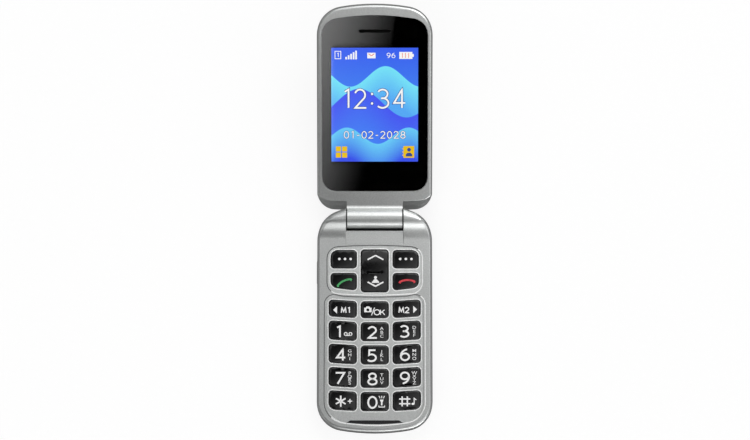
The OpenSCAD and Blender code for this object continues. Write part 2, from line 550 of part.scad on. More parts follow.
// ---------- lid: outer cover and what it carries ----------
skin = 1.2;
inner_low = lid_low + skin;
out_u = [30, reach - 27.5];            // outer window
out_w = body_w - 22;
out_t = 0.8;
lens_u = reach - 19.5;
lens_d = 8;
led = [9.5, lens_u];
pcb_low = lid_part - 1.15;
module lid_outer_cover() color("silver") in_lid() difference() {
  rotate([0, 0, 180]) loft(eased(lid_low_rings, lid_part, -seam));
  intersection() {
    lid_plan(1.8, inner_low, 0);
    block(-half_w, half_w, inner_u, reach - 5.4, inner_low, 0);
  }
  prism(rounded(box(out_w + 0.2, out_u[0] - 0.1, out_u[1] + 0.1), same(5)), lid_low - 1, lid_low + out_t + 0.02);
  prism(box(out_w - 5, out_u[0] + 5, out_u[1] - 5), lid_low - 1, 0);
  post(0, lens_u, lens_d + 0.2, lid_low - 1, lid_low + out_t + 0.02);
  post(0, lens_u, lens_d - 2, lid_low - 1, 0);
  post(led[0], led[1], 3.1, lid_low - 1, 0);
  for (p = lid_bolts, side = [-1, 1]) {
    post(side * p[0], p[1], screw_d + 0.3, lid_low - 1, 0);
    post(side * p[0], p[1], head_d + 0.3, lid_low - 1, lid_low + 2.4);
  }
}
module lid_pcb() color("darkgreen") in_lid() difference() {
  prism(rounded(box(body_w - 12, inner_u + 3.4, reach - 10), same(3)), pcb_low, pcb_low + pcb_t);
  post(half_w - 10, inner_u + 9.4, 1.6, -20, 0);
}
module outer_window() color("black") in_lid()
  prism(rounded(box(out_w, out_u[0], out_u[1]), same(4.9)), lid_low + 0.03, lid_low + out_t);
module outer_display() color("midnightblue") in_lid()
  prism(box(out_w - 5.4, out_u[0] + 5.2, out_u[1] - 5.2), lid_low + out_t + 0.1, pcb_low - 0.05);
module camera_module() color("black") in_lid() {
  prism(box(8.4, lens_u - 4.2, lens_u + 4.2), inner_low + 0.1, pcb_low - 0.05);
  post(0, lens_u, lens_d - 2.2, lid_low + out_t + 0.1, inner_low + 0.2);
}
module camera_lens() color("black") in_lid() post(0, lens_u, lens_d, lid_low + 0.03, lid_low + out_t);
module torch_led() color("lightyellow") in_lid() {
  post(led[0], led[1], 2.9, lid_low + 0.1, inner_low + 0.3);
  prism([for (p = box(4.4, led[1] - 2.2, led[1] + 2.2)) [p[0] + led[0], p[1]]], inner_low + 0.1, pcb_low - 0.05);
}
module lid_magnet() color("darkgray") in_lid()
  block(-3.1, 3.1, reach - 4.7, reach - 2.8, lid_part + 0.1, lid_part + 1.6);
module lid_screws() color("silver") in_lid() for (p = lid_bolts, side = [-1, 1]) difference() {
  union() {
    post(side * p[0], p[1], screw_d, lid_low + 1.5, lid_part + 2.5);
    post(side * p[0], p[1], head_d, lid_low + 1.4, lid_low + 2.4);
  }
  post(side * p[0], p[1], 1.2, lid_low, lid_low + 1.9, $fn = 6);
}
// Flat strip of thickness t under a path of [u, v] points
module ribbon(path, t, x, w) translate([x, 0, 0]) rotate([90, 0, 90]) linear_extrude(w)
  polygon(concat(path, [for (i = [len(path) - 1:-1:0]) path[i] - [0, t]]));
module flex_cable() color("orange") in_lid() {
  along_x(bush_x[0] + 0.5, flex_x + flex_w + 0.1, 2.4);
  ribbon(flex_path, 0.1, flex_x, flex_w);
}
module hinge_cartridge() color("darkgray") in_lid() difference() {
  along_x(cart_x[0], cart_x[1], 2 * cart_r);
  along_x(shaft_x[0] - 0.5, 20, shaft_d + 0.2);
}

// ---------- keys ----------
module right_of(k) mirror([1, 0, 0]) key(k);
module key_soft_left() color("black") in_base() key(KEYS[0]);
module key_soft_right() color("black") in_base() right_of(KEYS[0]);
module key_call() color("black") in_base() key(KEYS[1]);
module key_end() color("black") in_base() right_of(KEYS[1]);
module key_m1() color("black") in_base() key(KEYS[2]);
module key_ok() color("black") in_base() key(KEYS[3]);
module key_m2() color("black") in_base() right_of(KEYS[2]);
module key_1() color("black") in_base() key(KEYS[4]);
module key_2() color("black") in_base() key(KEYS[5]);
module key_3() color("black") in_base() right_of(KEYS[4]);
module key_4() color("black") in_base() key(KEYS[6]);
module key_5() color("black") in_base() key(KEYS[7]);
module key_6() color("black") in_base() right_of(KEYS[6]);
module key_7() color("black") in_base() key(KEYS[8]);
module key_8() color("black") in_base() key(KEYS[9]);
module key_9() color("black") in_base() right_of(KEYS[8]);
module key_star() color("black") in_base() key(KEYS[10]);
module key_0() color("black") in_base() key(KEYS[11]);
module key_hash() color("black") in_base() right_of(KEYS[10]);
nav_low = flange_top - 0.75;
nav_pivot = nav_low + flange_t / 2;
module key_nav() color("black") in_base() {
  difference() {
    key_form(NAV, nav_low);
    block(-4.4, 4.4, nav_c - 0.9, nav_c - 0.5, key_top - 0.3, key_top + 1);
  }
  prism(rounded(NAV[0], NAV[1], 0.65), nav_low, nav_low + flange_t);
  translate([0, nav_c, nav_pivot]) along_x(-4, 4, 1.4);  // it rocks on this rib
}

base_front_housing();
base_rear_housing();
battery_cover();
battery();
battery_contacts();
main_pcb();
shield_cans();
keypad_mat();
dome_sheet();
microphone();
loudspeaker();
speaker_mesh();
vibration_motor();
usb_socket();
sim_holder();
antenna();
base_screws();
volume_key();
hinge_bush();
hinge_shaft();
hinge_cartridge();
lid_front_housing();
window_lens();
window_mask();
display_module();
display_frame();
earpiece();
earpiece_mesh();
lid_pcb();
lid_outer_cover();
outer_window();
outer_display();
camera_module();
camera_lens();
torch_led();
lid_magnet();
lid_screws();
flex_cable();
key_soft_left();
key_soft_right();
key_nav();
key_call();
key_end();
key_m1();
key_ok();
key_m2();
key_1();
key_2();
key_3();
key_4();
key_5();
key_6();
key_7();
key_8();
key_9();
key_star();
key_0();
key_hash();
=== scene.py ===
# %% [markdown]
# # An open clamshell phone
# The solids of the phone come ready made, in metres, each in its real place. This lesson gives them their
# finishes, prints the legends on the keys, lights the display, and photographs the phone from straight above
# the keypad, a little tilted, as a catalogue picture does. Nothing is moved.
# %% Load the phone's parts
import json
import math
import bpy
import bmesh
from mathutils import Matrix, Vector
from mathutils.bvhtree import BVHTree

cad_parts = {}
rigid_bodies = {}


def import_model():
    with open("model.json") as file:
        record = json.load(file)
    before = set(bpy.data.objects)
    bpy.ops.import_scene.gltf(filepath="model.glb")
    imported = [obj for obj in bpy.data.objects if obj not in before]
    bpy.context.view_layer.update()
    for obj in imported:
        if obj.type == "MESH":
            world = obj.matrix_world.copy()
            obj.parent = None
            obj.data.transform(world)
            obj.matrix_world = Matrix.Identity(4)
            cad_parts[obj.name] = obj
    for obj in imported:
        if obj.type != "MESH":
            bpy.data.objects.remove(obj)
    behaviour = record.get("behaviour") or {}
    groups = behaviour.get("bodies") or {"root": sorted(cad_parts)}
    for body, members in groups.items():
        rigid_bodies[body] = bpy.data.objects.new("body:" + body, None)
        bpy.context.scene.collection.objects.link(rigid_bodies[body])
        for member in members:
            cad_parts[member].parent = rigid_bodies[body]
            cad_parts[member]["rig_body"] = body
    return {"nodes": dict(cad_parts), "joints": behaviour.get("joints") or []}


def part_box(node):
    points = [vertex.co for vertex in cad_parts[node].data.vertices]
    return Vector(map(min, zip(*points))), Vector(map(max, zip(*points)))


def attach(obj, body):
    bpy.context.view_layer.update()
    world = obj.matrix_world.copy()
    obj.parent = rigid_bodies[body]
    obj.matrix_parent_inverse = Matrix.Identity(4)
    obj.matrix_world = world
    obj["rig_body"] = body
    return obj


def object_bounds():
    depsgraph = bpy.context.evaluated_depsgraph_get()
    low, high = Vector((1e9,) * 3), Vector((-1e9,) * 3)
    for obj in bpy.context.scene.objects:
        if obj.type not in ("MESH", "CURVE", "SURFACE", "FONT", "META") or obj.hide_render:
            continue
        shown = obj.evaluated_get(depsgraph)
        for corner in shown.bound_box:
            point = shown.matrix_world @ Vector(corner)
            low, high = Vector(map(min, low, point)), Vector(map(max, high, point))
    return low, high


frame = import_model()
cad_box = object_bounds()
nodes = frame["nodes"]
MM = 0.001
print("parts:", len(nodes), "box in mm:", [[round(c / MM, 1) for c in corner] for corner in cad_box])

# %% [markdown]
# ## The camera
# A phone is photographed with a long lens from more than a metre away, so that its sides stay nearly parallel.
# The picture looks 10 degrees off straight down: the base lies flat and the lid leans 20 degrees up, so both
# halves are seen equally foreshortened. The hinge axis lies just above the middle of the picture.
# %% Place the camera
hinge = Vector(next(j["pos_m"] for j in frame["joints"] if j["name"] == "lid_hinge"))
photo_w, photo_h = 750, 440
hinge_row = 218.5
centre_column = 374.7
width_at_hinge = 366.0 * MM
camera_distance = 1.4
view_height = math.radians(80)
sensor_w = 36.0

per_pixel = width_at_hinge / photo_w
toward_camera = Vector((0, -math.cos(view_height), math.sin(view_height)))
picture_up = Vector((0, math.sin(view_height), math.cos(view_height)))
aim = hinge + picture_up * (hinge_row - photo_h / 2) * per_pixel
aim.x += (photo_w / 2 - centre_column) * per_pixel
camera = bpy.data.objects.new("camera", bpy.data.cameras.new("camera"))
camera.data.sensor_width = sensor_w
camera.data.lens = sensor_w * camera_distance / width_at_hinge
camera.data.clip_start, camera.data.clip_end = 0.01, 100
camera.location = aim + toward_camera * camera_distance
camera.rotation_euler = toward_camera.to_track_quat("Z", "Y").to_euler()
bpy.context.scene.collection.objects.link(camera)
bpy.context.scene.camera = camera
bpy.context.scene.view_settings.view_transform = "Standard"
print("lens:", round(camera.data.lens, 1), "mm, one pixel:", round(per_pixel / MM, 3), "mm")

# %% [markdown]
# ## Small helpers for finishes
# Colours are written as sRGB hex, as a paint chart gives them, and turned to the linear values that light is
# reckoned in. Every finish is a Principled shader with a few nodes in front of it, so one function that adds a
# node with its settings and links is enough for all of them; the other helpers only name its usual uses.
# %% Colour and node helpers
def linear(code, alpha=1.0):
    """sRGB hex such as B4B6B5 as linear RGBA."""
    parts = [int(code[i:i + 2], 16) / 255 for i in (0, 2, 4)]
    return [c / 12.92 if c <= 0.04045 else ((c + 0.055) / 1.055) ** 2.4 for c in parts] + [alpha]


def add(tree, kind, settings=None, inputs=None):
    """Adds one node; settings are its properties; each input, by name or number, is a value or another's output."""
    made = tree.nodes.new(kind)
    for key, value in (settings or {}).items():
        setattr(made, key, value)
    for key, value in (inputs or {}).items():
        if isinstance(value, bpy.types.NodeSocket):
            tree.links.new(value, made.inputs[key])
        else:
            made.inputs[key].default_value = value
    return made


def finish_named(name, values):
    """A material with one Principled shader; returns the material, its node tree and the shader."""
    material = bpy.data.materials.new(name)
    material.use_nodes = True
    tree = material.node_tree
    tree.nodes.clear()
    shader = add(tree, "ShaderNodeBsdfPrincipled", inputs=values)
    add(tree, "ShaderNodeOutputMaterial", inputs={"Surface": shader.outputs[0]})
    return material, tree, shader


def per_size(size_mm):
    """Texture scale at which one cell of a pattern is this many millimetres."""
    return 1 / (size_mm * MM)


def reckon(tree, operation, *inputs):
    """The result of a Math node."""
    return add(tree, "ShaderNodeMath", {"operation": operation}, dict(enumerate(inputs))).outputs[0]


def spread(tree, value, low, high, start=0.0, end=1.0, kind="LINEAR"):
    """A value that runs from start to end, mapped to run from low to high."""
    return add(tree, "ShaderNodeMapRange", {"interpolation_type": kind},
               {"Value": value, "From Min": start, "From Max": end, "To Min": low, "To Max": high}).outputs[0]


def mixed(tree, factor, first, second, blend="MIX"):
    """One colour mixed with another."""
    return add(tree, "ShaderNodeMix", {"data_type": "RGBA", "blend_type": blend},
               {0: factor, 6: first, 7: second}).outputs[2]


def where_on(tree):
    """The place on the object, in metres."""
    return add(tree, "ShaderNodeTexCoord").outputs["Object"]


def noise(tree, size_mm, detail, where):
    """Noise from 0 to 1 with cells of this many millimetres."""
    return add(tree, "ShaderNodeTexNoise", None, {"Scale": per_size(size_mm), "Detail": detail,
                                                  "Vector": where}).outputs["Fac"]


def bumped(tree, shader, height, strength, depth_mm):
    """Gives a shader bumps by a height from 0 to 1 that stands for a depth in millimetres."""
    bump = add(tree, "ShaderNodeBump", None, {"Height": height, "Strength": strength, "Distance": depth_mm * MM})
    tree.links.new(bump.outputs[0], shader.inputs["Normal"])


print("B4B6B5 in linear light:", [round(c, 3) for c in linear("B4B6B5")[:3]])

# %% [markdown]
# ## Silver lacquer on moulded ABS
# The housings are ABS, sprayed with a lacquer full of aluminium flakes. The flakes lie nearly flat, so the paint
# shines like a dull metal: it darkens where it turns away from the light and its highlights are broad. The flakes
# are about 0.03 mm, too fine for the picture, so the grain is drawn at 0.6 mm, where it shows as the faint
# sparkle that the photograph has. A slow 9 mm change in roughness keeps large faces from looking computed.
# The two sunken fields round the keys are spark-eroded in the tool and come out more matt, with a coarser grain;
# they lie lower than the deck, so their height is enough to tell them apart.
# %% Silver lacquer
grain_mm = 0.6
spread_mm = 9.0
deck_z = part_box("key_5")[1].z - 0.2 * MM
field_z = deck_z - 0.35 * MM


def silver(name, colour, roughness, sparkle, field=False, metal=0.85):
    """Flake lacquer; with field=True the sunken key fields come out matt."""
    material, tree, shader = finish_named(name, {"Metallic": metal})
    where = where_on(tree)
    grain, cloud = noise(tree, grain_mm, 2.0, where), noise(tree, spread_mm, 1.0, where)
    strength = reckon(tree, "MULTIPLY", grain, sparkle)
    rough = reckon(tree, "MULTIPLY_ADD", cloud, 0.06, roughness - 0.03)
    if field:
        height = add(tree, "ShaderNodeSeparateXYZ", inputs={0: where}).outputs["Z"]
        low = reckon(tree, "COMPARE", height, field_z, 0.08 * MM)
        strength = reckon(tree, "MULTIPLY_ADD", low, sparkle * 2.0, strength)
        rough = reckon(tree, "MULTIPLY_ADD", low, 0.1, rough)
    base = mixed(tree, 1.0, linear(colour), spread(tree, grain, 0.90, 1.08, 0.3, 0.7), "MULTIPLY")
    tree.links.new(base, shader.inputs["Base Color"])
    tree.links.new(rough, shader.inputs["Roughness"])
    bumped(tree, shader, grain, strength, 0.02)
    return material


silver_lacquer = silver("silver_flake_lacquer_on_ABS", "CACCCB", 0.31, 0.3)
silver_deck = silver("silver_flake_lacquer_with_eroded_fields", "CACCCB", 0.31, 0.3, field=True)
print("lacquer grain", grain_mm, "mm; fields at", round(field_z / MM, 2), "mm")

# %% [markdown]
# ## Gloss black keys, black frame, and rubber
# The keys are polycarbonate, moulded in a polished tool and left uncoated: black all through, IOR 1.58, a clear
# reflection with a slight orange peel. The frame between the silver shells is the same black in a fine matt
# texture. The mat under the keys is translucent silicone rubber, which scatters light and hardly shines.
# %% Plastics and rubber
peel_mm = 3.0
texture_mm = 0.5


def moulded(name, colour, roughness, ior, cell_mm, depth_mm, more=None):
    """Moulded plastic or rubber with a surface grain of the given cell size and depth."""
    values = {"Base Color": linear(colour), "Roughness": roughness, "IOR": ior}
    values.update(more or {})
    material, tree, shader = finish_named(name, values)
    grain = noise(tree, cell_mm, 3.0, where_on(tree))
    tree.links.new(spread(tree, grain, roughness * 0.8, roughness * 1.2), shader.inputs["Roughness"])
    bumped(tree, shader, grain, 0.5, depth_mm)
    return material


gloss_black = moulded("gloss_black_polycarbonate", "0A0A0B", 0.12, 1.58, peel_mm, 0.003)
matt_black = moulded("matt_black_glass_filled_nylon", "1C1C1E", 0.5, 1.53, texture_mm, 0.02)
silicone = moulded("translucent_silicone_rubber", "C6C8C9", 0.55, 1.41, texture_mm, 0.01,
                   {"Subsurface Weight": 0.3, "Subsurface Radius": (0.002, 0.002, 0.002), "Subsurface Scale": 0.5})
film = moulded("polyester_dome_film", "D2D3D6", 0.3, 1.64, 1.0, 0.005)
solder_mask = moulded("green_solder_mask_on_FR4", "0E4A2A", 0.28, 1.5, 0.8, 0.01)
plated_carrier = moulded("laser_plated_antenna_carrier", "8F7F55", 0.42, 1.5, 0.6, 0.01)
battery_wrap = moulded("printed_vinyl_wrap", "2A2D33", 0.38, 1.52, 1.2, 0.008)
polyimide = moulded("polyimide_flat_cable", "B4641E", 0.3, 1.7, 0.8, 0.004)
gauze = moulded("black_woven_gauze", "060606", 0.85, 1.5, 0.35, 0.05, {"Specular IOR Level": 0.1})
print("gloss black peel", peel_mm, "mm; matt texture", texture_mm, "mm")

# %% [markdown]
# ## Metals
# Inside are rolled and stamped sheets, a turned shaft and gold-plated springs. Rolling and turning leave fine
# lines along one direction. Noise stretched along that direction, 0.08 mm across and 4 mm long, draws them.
# %% Steel, tin and gold
line_mm = 0.08
line_length_mm = 4.0


def rolled(name, colour, roughness):
    """A metal with fine lines along X, as rolling or turning leaves them."""
    material, tree, shader = finish_named(name, {"Metallic": 1.0, "Base Color": linear(colour)})
    stretch = add(tree, "ShaderNodeMapping", None,
                  {"Scale": (line_mm / line_length_mm, 1, 1), "Vector": where_on(tree)})
    lines = noise(tree, line_mm, 2.0, stretch.outputs[0])
    tree.links.new(spread(tree, lines, roughness * 0.75, roughness * 1.25), shader.inputs["Roughness"])
    bumped(tree, shader, lines, 0.25, 0.004)
    return material


steel = rolled("turned_stainless_steel", "B7B8BA", 0.28)
tinned_sheet = rolled("tinned_steel_sheet", "C3C5C8", 0.34)
dark_steel = rolled("black_oxide_screw_steel", "6B6C70", 0.36)
gold_plate = rolled("gold_plated_spring_bronze", "D9B25E", 0.24)
print("metal lines", line_mm, "mm across and", line_length_mm, "mm long")

# %% [markdown]
# ## Window, ink and lens
# The window is a 1 mm sheet of hard-coated acrylic with black ink printed on its back round the picture. That is
# why the border looks deep and glossy: light comes back from the clear front. The print is bonded to the sheet,
# with no air between them, so it has no gloss of its own. The outer window and the camera's are nearly black.
# %% Clear and smoked windows
wave_mm = 6.0


def window_material(name, colour, roughness):
    """Hard-coated acrylic, IOR 1.49, with the least waviness that a moulded sheet has."""
    material, tree, shader = finish_named(name, {"Base Color": linear(colour), "IOR": 1.49,
                                                 "Roughness": roughness, "Transmission Weight": 1.0})
    bumped(tree, shader, noise(tree, wave_mm, 0.0, where_on(tree)), 0.04, 0.004)
    return material


clear_window = window_material("hard_coated_clear_acrylic", "FFFFFF", 0.0)
black_ink = moulded("black_screen_print_ink", "030303", 0.6, 1.5, 0.4, 0.002, {"Specular IOR Level": 0.0})
smoked_window = moulded("smoked_polycarbonate_window", "08080A", 0.05, 1.58, 8.0, 0.002, {"Coat Weight": 0.3})
lens_glass = moulded("coated_camera_glass", "06070B", 0.03, 1.52, 8.0, 0.001, {"Coat Weight": 0.6})
lamp_phosphor = moulded("yellow_phosphor_behind_lens", "F0E6B4", 0.35, 1.5, 0.6, 0.01)
print("windows ready")

# %% [markdown]
# ## The lit picture
# A colour display makes its own light, so its picture is an emission at strength 1: a colour then shows as it is
# written. The picture is a plain pattern of three overlapping waves in blues, each bright along its crest and
# deeper below it. It is worked out from the place across and along the lid, measured in the lid's own slanted
# plane, so it stays on the glass when the lid closes. Only the panel's front shines.
# %% The display's wave picture
lid_along = Vector((0, math.cos(math.radians(20)), math.sin(math.radians(20))))
lid_up = Vector((0, -math.sin(math.radians(20)), math.cos(math.radians(20))))
screen_w, screen_h = 42.1 * MM, 55.7 * MM
screen_u = 55.75 * MM


def lid_point(x, u, v=0.0):
    """A point x across, u along the lid from the hinge axis and v above the axis, all in metres."""
    return hinge + Vector((x, 0, 0)) + lid_along * u + lid_up * v


screen_values = {"Base Color": linear("050608"), "Roughness": 0.6, "Specular IOR Level": 0.0,
                 "Emission Strength": 1.0}


def wave_picture():
    """Emission colour by the place on the lid: three waves, one over the other."""
    material, tree, shader = finish_named("lit_colour_display", screen_values)
    where = where_on(tree)
    across = add(tree, "ShaderNodeSeparateXYZ", inputs={0: where}).outputs["X"]
    from_middle = add(tree, "ShaderNodeVectorMath", {"operation": "SUBTRACT"},
                      {0: where, 1: lid_point(0, screen_u)})
    along = add(tree, "ShaderNodeVectorMath", {"operation": "DOT_PRODUCT"},
                {0: from_middle.outputs[0], 1: lid_along}).outputs["Value"]
    upward = spread(tree, along, 0.0, 1.0, -screen_h / 2, screen_h / 2)
    sky = mixed(tree, upward, linear("4FA8FB"), linear("3F63F6"))
    edge_blur = 0.3 * MM
    # Each wave: middle height, swing and length in mm, phase, crest and deep colour, and depth of its fade in mm.
    waves = [(14.0, 5.0, 34.0, 0.6, "7CEBFF", "5AAEFC", 16.0), (1.0, 7.0, 46.0, 2.6, "4C5BF8", "4A86FC", 24.0),
             (-15.0, 4.0, 30.0, 4.4, "6FD4FF", "3E55F0", 15.0)]
    for height, swing, length, phase, crest, deep, fade in waves:
        turn = reckon(tree, "MULTIPLY_ADD", across, 2 * math.pi / (length * MM), phase)
        edge = reckon(tree, "MULTIPLY_ADD", reckon(tree, "SINE", turn), swing * MM, height * MM)
        below = reckon(tree, "SUBTRACT", edge, along)
        body = mixed(tree, spread(tree, below, 0.0, 1.0, 0.0, fade * MM), linear(crest), linear(deep))
        sky = mixed(tree, spread(tree, below, 0.0, 1.0, 0.0, edge_blur), sky, body)
    tree.links.new(sky, shader.inputs["Emission Color"])
    return material


lit_display = wave_picture()
dark_display = moulded("unlit_outer_display", "07090F", 0.2, 1.5, 0.5, 0.002)
print("picture", screen_w / MM, "x", screen_h / MM, "mm")

# %% [markdown]
# ## Dress the parts
# A moulded edge is never sharp: the tool leaves a radius of 0.1 to 0.3 mm, and that narrow round is what catches
# the light along every rim. The solids' surfaces come as loose triangles, so each is first welded, flat triangles
# are joined, and then its sharp edges get a small bevel. A weighted normal keeps the flats flat and the rounds
# round. Inner parts that hardly show are only welded and split at their sharp edges.
# %% Weld, soften and paint
weld_mm = 0.0005
flat_angle = math.radians(0.8)
edge_angle = math.radians(32)


def dress(name, material, radius_mm=0.0):
    """Gives a part its finish, and with a radius softened edges."""
    piece = nodes[name]
    mesh = piece.data
    mesh.materials.clear()
    mesh.materials.append(material)
    for old in ("custom_normal", "sharp_edge", "sharp_face"):
        if old in mesh.attributes:
            mesh.attributes.remove(mesh.attributes[old])
    mesh.polygons.foreach_set("use_smooth", [True] * len(mesh.polygons))
    piece.modifiers.new("weld", "WELD").merge_threshold = weld_mm * MM
    if radius_mm:
        join = piece.modifiers.new("join_flats", "DECIMATE")
        join.decimate_type, join.angle_limit = "DISSOLVE", flat_angle
        edge = piece.modifiers.new("edge_radius", "BEVEL")
        edge.width, edge.segments, edge.limit_method, edge.angle_limit = radius_mm * MM, 3, "ANGLE", edge_angle
        edge.use_clamp_overlap, edge.harden_normals = False, False
        edge.miter_outer = "MITER_ARC"
        piece.modifiers.new("flat_faces", "WEIGHTED_NORMAL").keep_sharp = True
    else:
        piece.modifiers.new("split", "EDGE_SPLIT").split_angle = edge_angle
    return piece


key_radius_mm = 0.6
finishes = {"base_front_housing": (silver_deck, 0.14), "battery_cover": (silver_lacquer, 0.16),
            "volume_key": (silver_lacquer, 0.2), "lid_front_housing": (silver_lacquer, 0.14),
            "lid_outer_cover": (silver_lacquer, 0.16), "window_lens": (clear_window, 0.0),
            "outer_window": (smoked_window, 0.15), "camera_lens": (lens_glass, 0.15)}
finishes.update((name, (gloss_black, key_radius_mm)) for name in sorted(nodes) if name.startswith("key_"))
unsoftened = ((matt_black, "base_rear_housing loudspeaker speaker_mesh earpiece camera_module"),
              (tinned_sheet, "shield_cans microphone vibration_motor usb_socket sim_holder display_frame"),
              (steel, "hinge_bush hinge_shaft hinge_cartridge lid_magnet"), (dark_steel, "base_screws lid_screws"),
              (solder_mask, "main_pcb lid_pcb"), (battery_wrap, "battery"), (gold_plate, "battery_contacts"),
              (silicone, "keypad_mat"), (film, "dome_sheet"), (plated_carrier, "antenna"), (black_ink, "window_mask"),
              (lit_display, "display_module"), (gauze, "earpiece_mesh"), (dark_display, "outer_display"),
              (lamp_phosphor, "torch_led"), (polyimide, "flex_cable"))
for material, names in unsoftened:
    finishes.update((name, (material, 0.0)) for name in names.split())
for name, (material, radius) in finishes.items():
    dress(name, material, radius)
# The ink grips the sheet: it is let in by a hundredth of a millimetre, so that no light slips in between.
bond_mm = 0.01
bond = nodes["window_mask"].modifiers.new("bonded", "DISPLACE")
bond.direction, bond.mid_level, bond.strength = "NORMAL", 0.0, bond_mm * MM
print("dressed", len(finishes), "of", len(nodes), "parts")

# %% [markdown]
# ## Flat signs from strokes
# The legends are ink, pad-printed on the keys' crowned tops. A sign is drawn as strokes: a line of points given
# a width, like the stroke of a pen, and turned into a thin solid. Numerals are straight lines and arcs in a box
# 0.8 wide and 1 high.
# %% Strokes and filled shapes
step_mm = 0.8


def arc(cx, cy, rx, ry, start, end, count=18):
    """Points along an ellipse from one angle to another, in degrees; falling angles turn clockwise."""
    turns = [math.radians(start + (end - start) * i / count) for i in range(count + 1)]
    return [(cx + rx * math.cos(t), cy + ry * math.sin(t)) for t in turns]


def ring(cx, cy, rx, ry, count=28):
    return arc(cx, cy, rx, ry, 0, 360, count)[:-1]


def finely(points, closed):
    """The same line with points no further apart than the step, so that it can follow a crowned key."""
    ends = zip(points, points[1:] + points[:1] if closed else points[1:])
    fine = []
    for (x0, y0), (x1, y1) in ends:
        parts = max(1, math.ceil(math.hypot(x1 - x0, y1 - y0) / step_mm))
        fine += [(x0 + (x1 - x0) * i / parts, y0 + (y1 - y0) * i / parts) for i in range(parts)]
    return fine if closed else fine + [points[-1]]


def stroke(points, width, closed=False):
    """Left and right edges of a pen stroke, mitred at its corners."""
    line = [Vector(p) for p in finely(points, closed)]
    count = len(line)
    left, right = [], []
    for i, p in enumerate(line):
        before = line[i - 1] if closed or i else None
        after = line[(i + 1) % count] if closed or i < count - 1 else None
        run_in = (p - before).normalized() if before is not None else (after - p).normalized()
        run_out = (after - p).normalized() if after is not None else run_in
        side = Vector((-run_in.y - run_out.y, run_in.x + run_out.x))
        side = side.normalized() if side.length > 1e-6 else Vector((-run_in.y, run_in.x))
        reach = min(1 / max(side.dot(Vector((-run_in.y, run_in.x))), 0.1), 2.2) * width / 2
        left.append(p + side * reach)
        right.append(p - side * reach)
    return left, right


def add_stroke(shape, points, width, closed=False):
    """Adds a stroke to a bmesh as a closed solid from height 0 to 1."""
    left, right = stroke(points, width, closed)
    rows = [[shape.verts.new((q.x, q.y, z)) for q in edge] for z in (1, 0) for edge in (left, right)]
    top_l, top_r, low_l, low_r = rows
    count = len(left)
    for i in range(count if closed else count - 1):
        j = (i + 1) % count
        shape.faces.new((top_l[i], top_r[i], top_r[j], top_l[j]))
        shape.faces.new((low_l[j], low_r[j], low_r[i], low_l[i]))
        shape.faces.new((top_l[j], low_l[j], low_l[i], top_l[i]))
        shape.faces.new((top_r[i], low_r[i], low_r[j], top_r[j]))
    if not closed:
        shape.faces.new((top_l[0], low_l[0], low_r[0], top_r[0]))
        shape.faces.new((top_r[-1], low_r[-1], low_l[-1], top_l[-1]))


def add_shape(shape, points):
    """Adds a filled outline to a bmesh as a closed solid from height 0 to 1."""
    top = [shape.verts.new((x, y, 1)) for x, y in points]
    low = [shape.verts.new((x, y, 0)) for x, y in points]
    shape.faces.new(top)
    shape.faces.new(low[::-1])
    for i in range(len(points)):
        j = (i + 1) % len(points)
        shape.faces.new((top[j], top[i], low[i], low[j]))


print("a full stroke ring has", len(ring(0, 0, 1, 1)), "corners")

# %% [markdown]
# ## Numerals
# Each numeral is a list of pen lines. The 9 is the 6 turned half round, as in many typefaces.
# %% Pen lines of the numerals and letters
six = [(ring(0.41, 0.31, 0.37, 0.31), True), (arc(0.72, 0.36, 0.69, 0.64, 184, 100), False)]
PEN = {
    "0": [(ring(0.4, 0.5, 0.38, 0.5), True)],
    "1": [([(0.15, 0.88), (0.4, 1.0), (0.4, 0.0)], False)],
    "2": [(arc(0.37, 0.7, 0.35, 0.3, 160, -32) + [(0.04, 0.0), (0.8, 0.0)], False)],
    "3": [(arc(0.33, 0.76, 0.34, 0.24, 150, -88) + [(0.22, 0.52)], False),
          (arc(0.32, 0.265, 0.41, 0.265, 90, -140), False)],
    "4": [([(0.66, 0.0), (0.66, 1.0), (0.12, 0.27), (0.88, 0.27)], False)],
    "5": [([(0.68, 1.0), (0.12, 1.0), (0.1, 0.56)] + arc(0.3, 0.31, 0.42, 0.31, 104, -140), False)],
    "6": six,
    "7": [([(0.02, 1.0), (0.8, 1.0), (0.2, 0.0)], False)],
    "8": [(ring(0.4, 0.755, 0.31, 0.245), True), (ring(0.4, 0.255, 0.38, 0.255), True)],
    "9": [([(0.8 - x, 1 - y) for x, y in line], closed) for line, closed in six],
    ":": [(ring(0.2, 0.24, 0.02, 0.02, 8), True), (ring(0.2, 0.76, 0.02, 0.02, 8), True)],
    "-": [([(0.08, 0.42), (0.5, 0.42)], False)],
    "M": [([(0.0, 0.0), (0.1, 1.0), (0.45, 0.2), (0.8, 1.0), (0.9, 0.0)], False)],
    "O": [(ring(0.45, 0.5, 0.45, 0.5), True)],
    "K": [([(0.05, 0.0), (0.05, 1.0)], False), ([(0.7, 1.0), (0.1, 0.42)], False),
          ([(0.3, 0.6), (0.75, 0.0)], False)],
}
ADVANCE = {":": 0.4, "-": 0.58, "M": 0.9, "1": 0.62}


def add_text(shape, text, x, y, height, width, gap=0.34, wide=1.0, halo=0.0):
    """Pen text centred on x and y; height is over all, width is the pen's, gap is in heights, halo widens lines."""
    tall = height - width
    advances = [ADVANCE.get(c, 0.8) * tall * wide for c in text]
    total = sum(advances) + gap * tall * (len(text) - 1)
    left = x - total / 2
    for letter, advance in zip(text, advances):
        for line, closed in PEN[letter]:
            add_stroke(shape, [(left + px * tall * wide, y - tall / 2 + py * tall) for px, py in line], width + halo,
                       closed)
        left += advance + gap * tall


print("numerals and letters:", "".join(PEN))

# %% [markdown]
# ## Printing on a crowned key
# Ink follows what it is printed on. Each point of a flat sign is dropped onto the key straight from above, and
# the ink stands 0.03 mm proud of the surface, as a thick pad print does.
# %% Ink on keys
ink_proud = 0.03 * MM
ink_sunk = 0.05 * MM


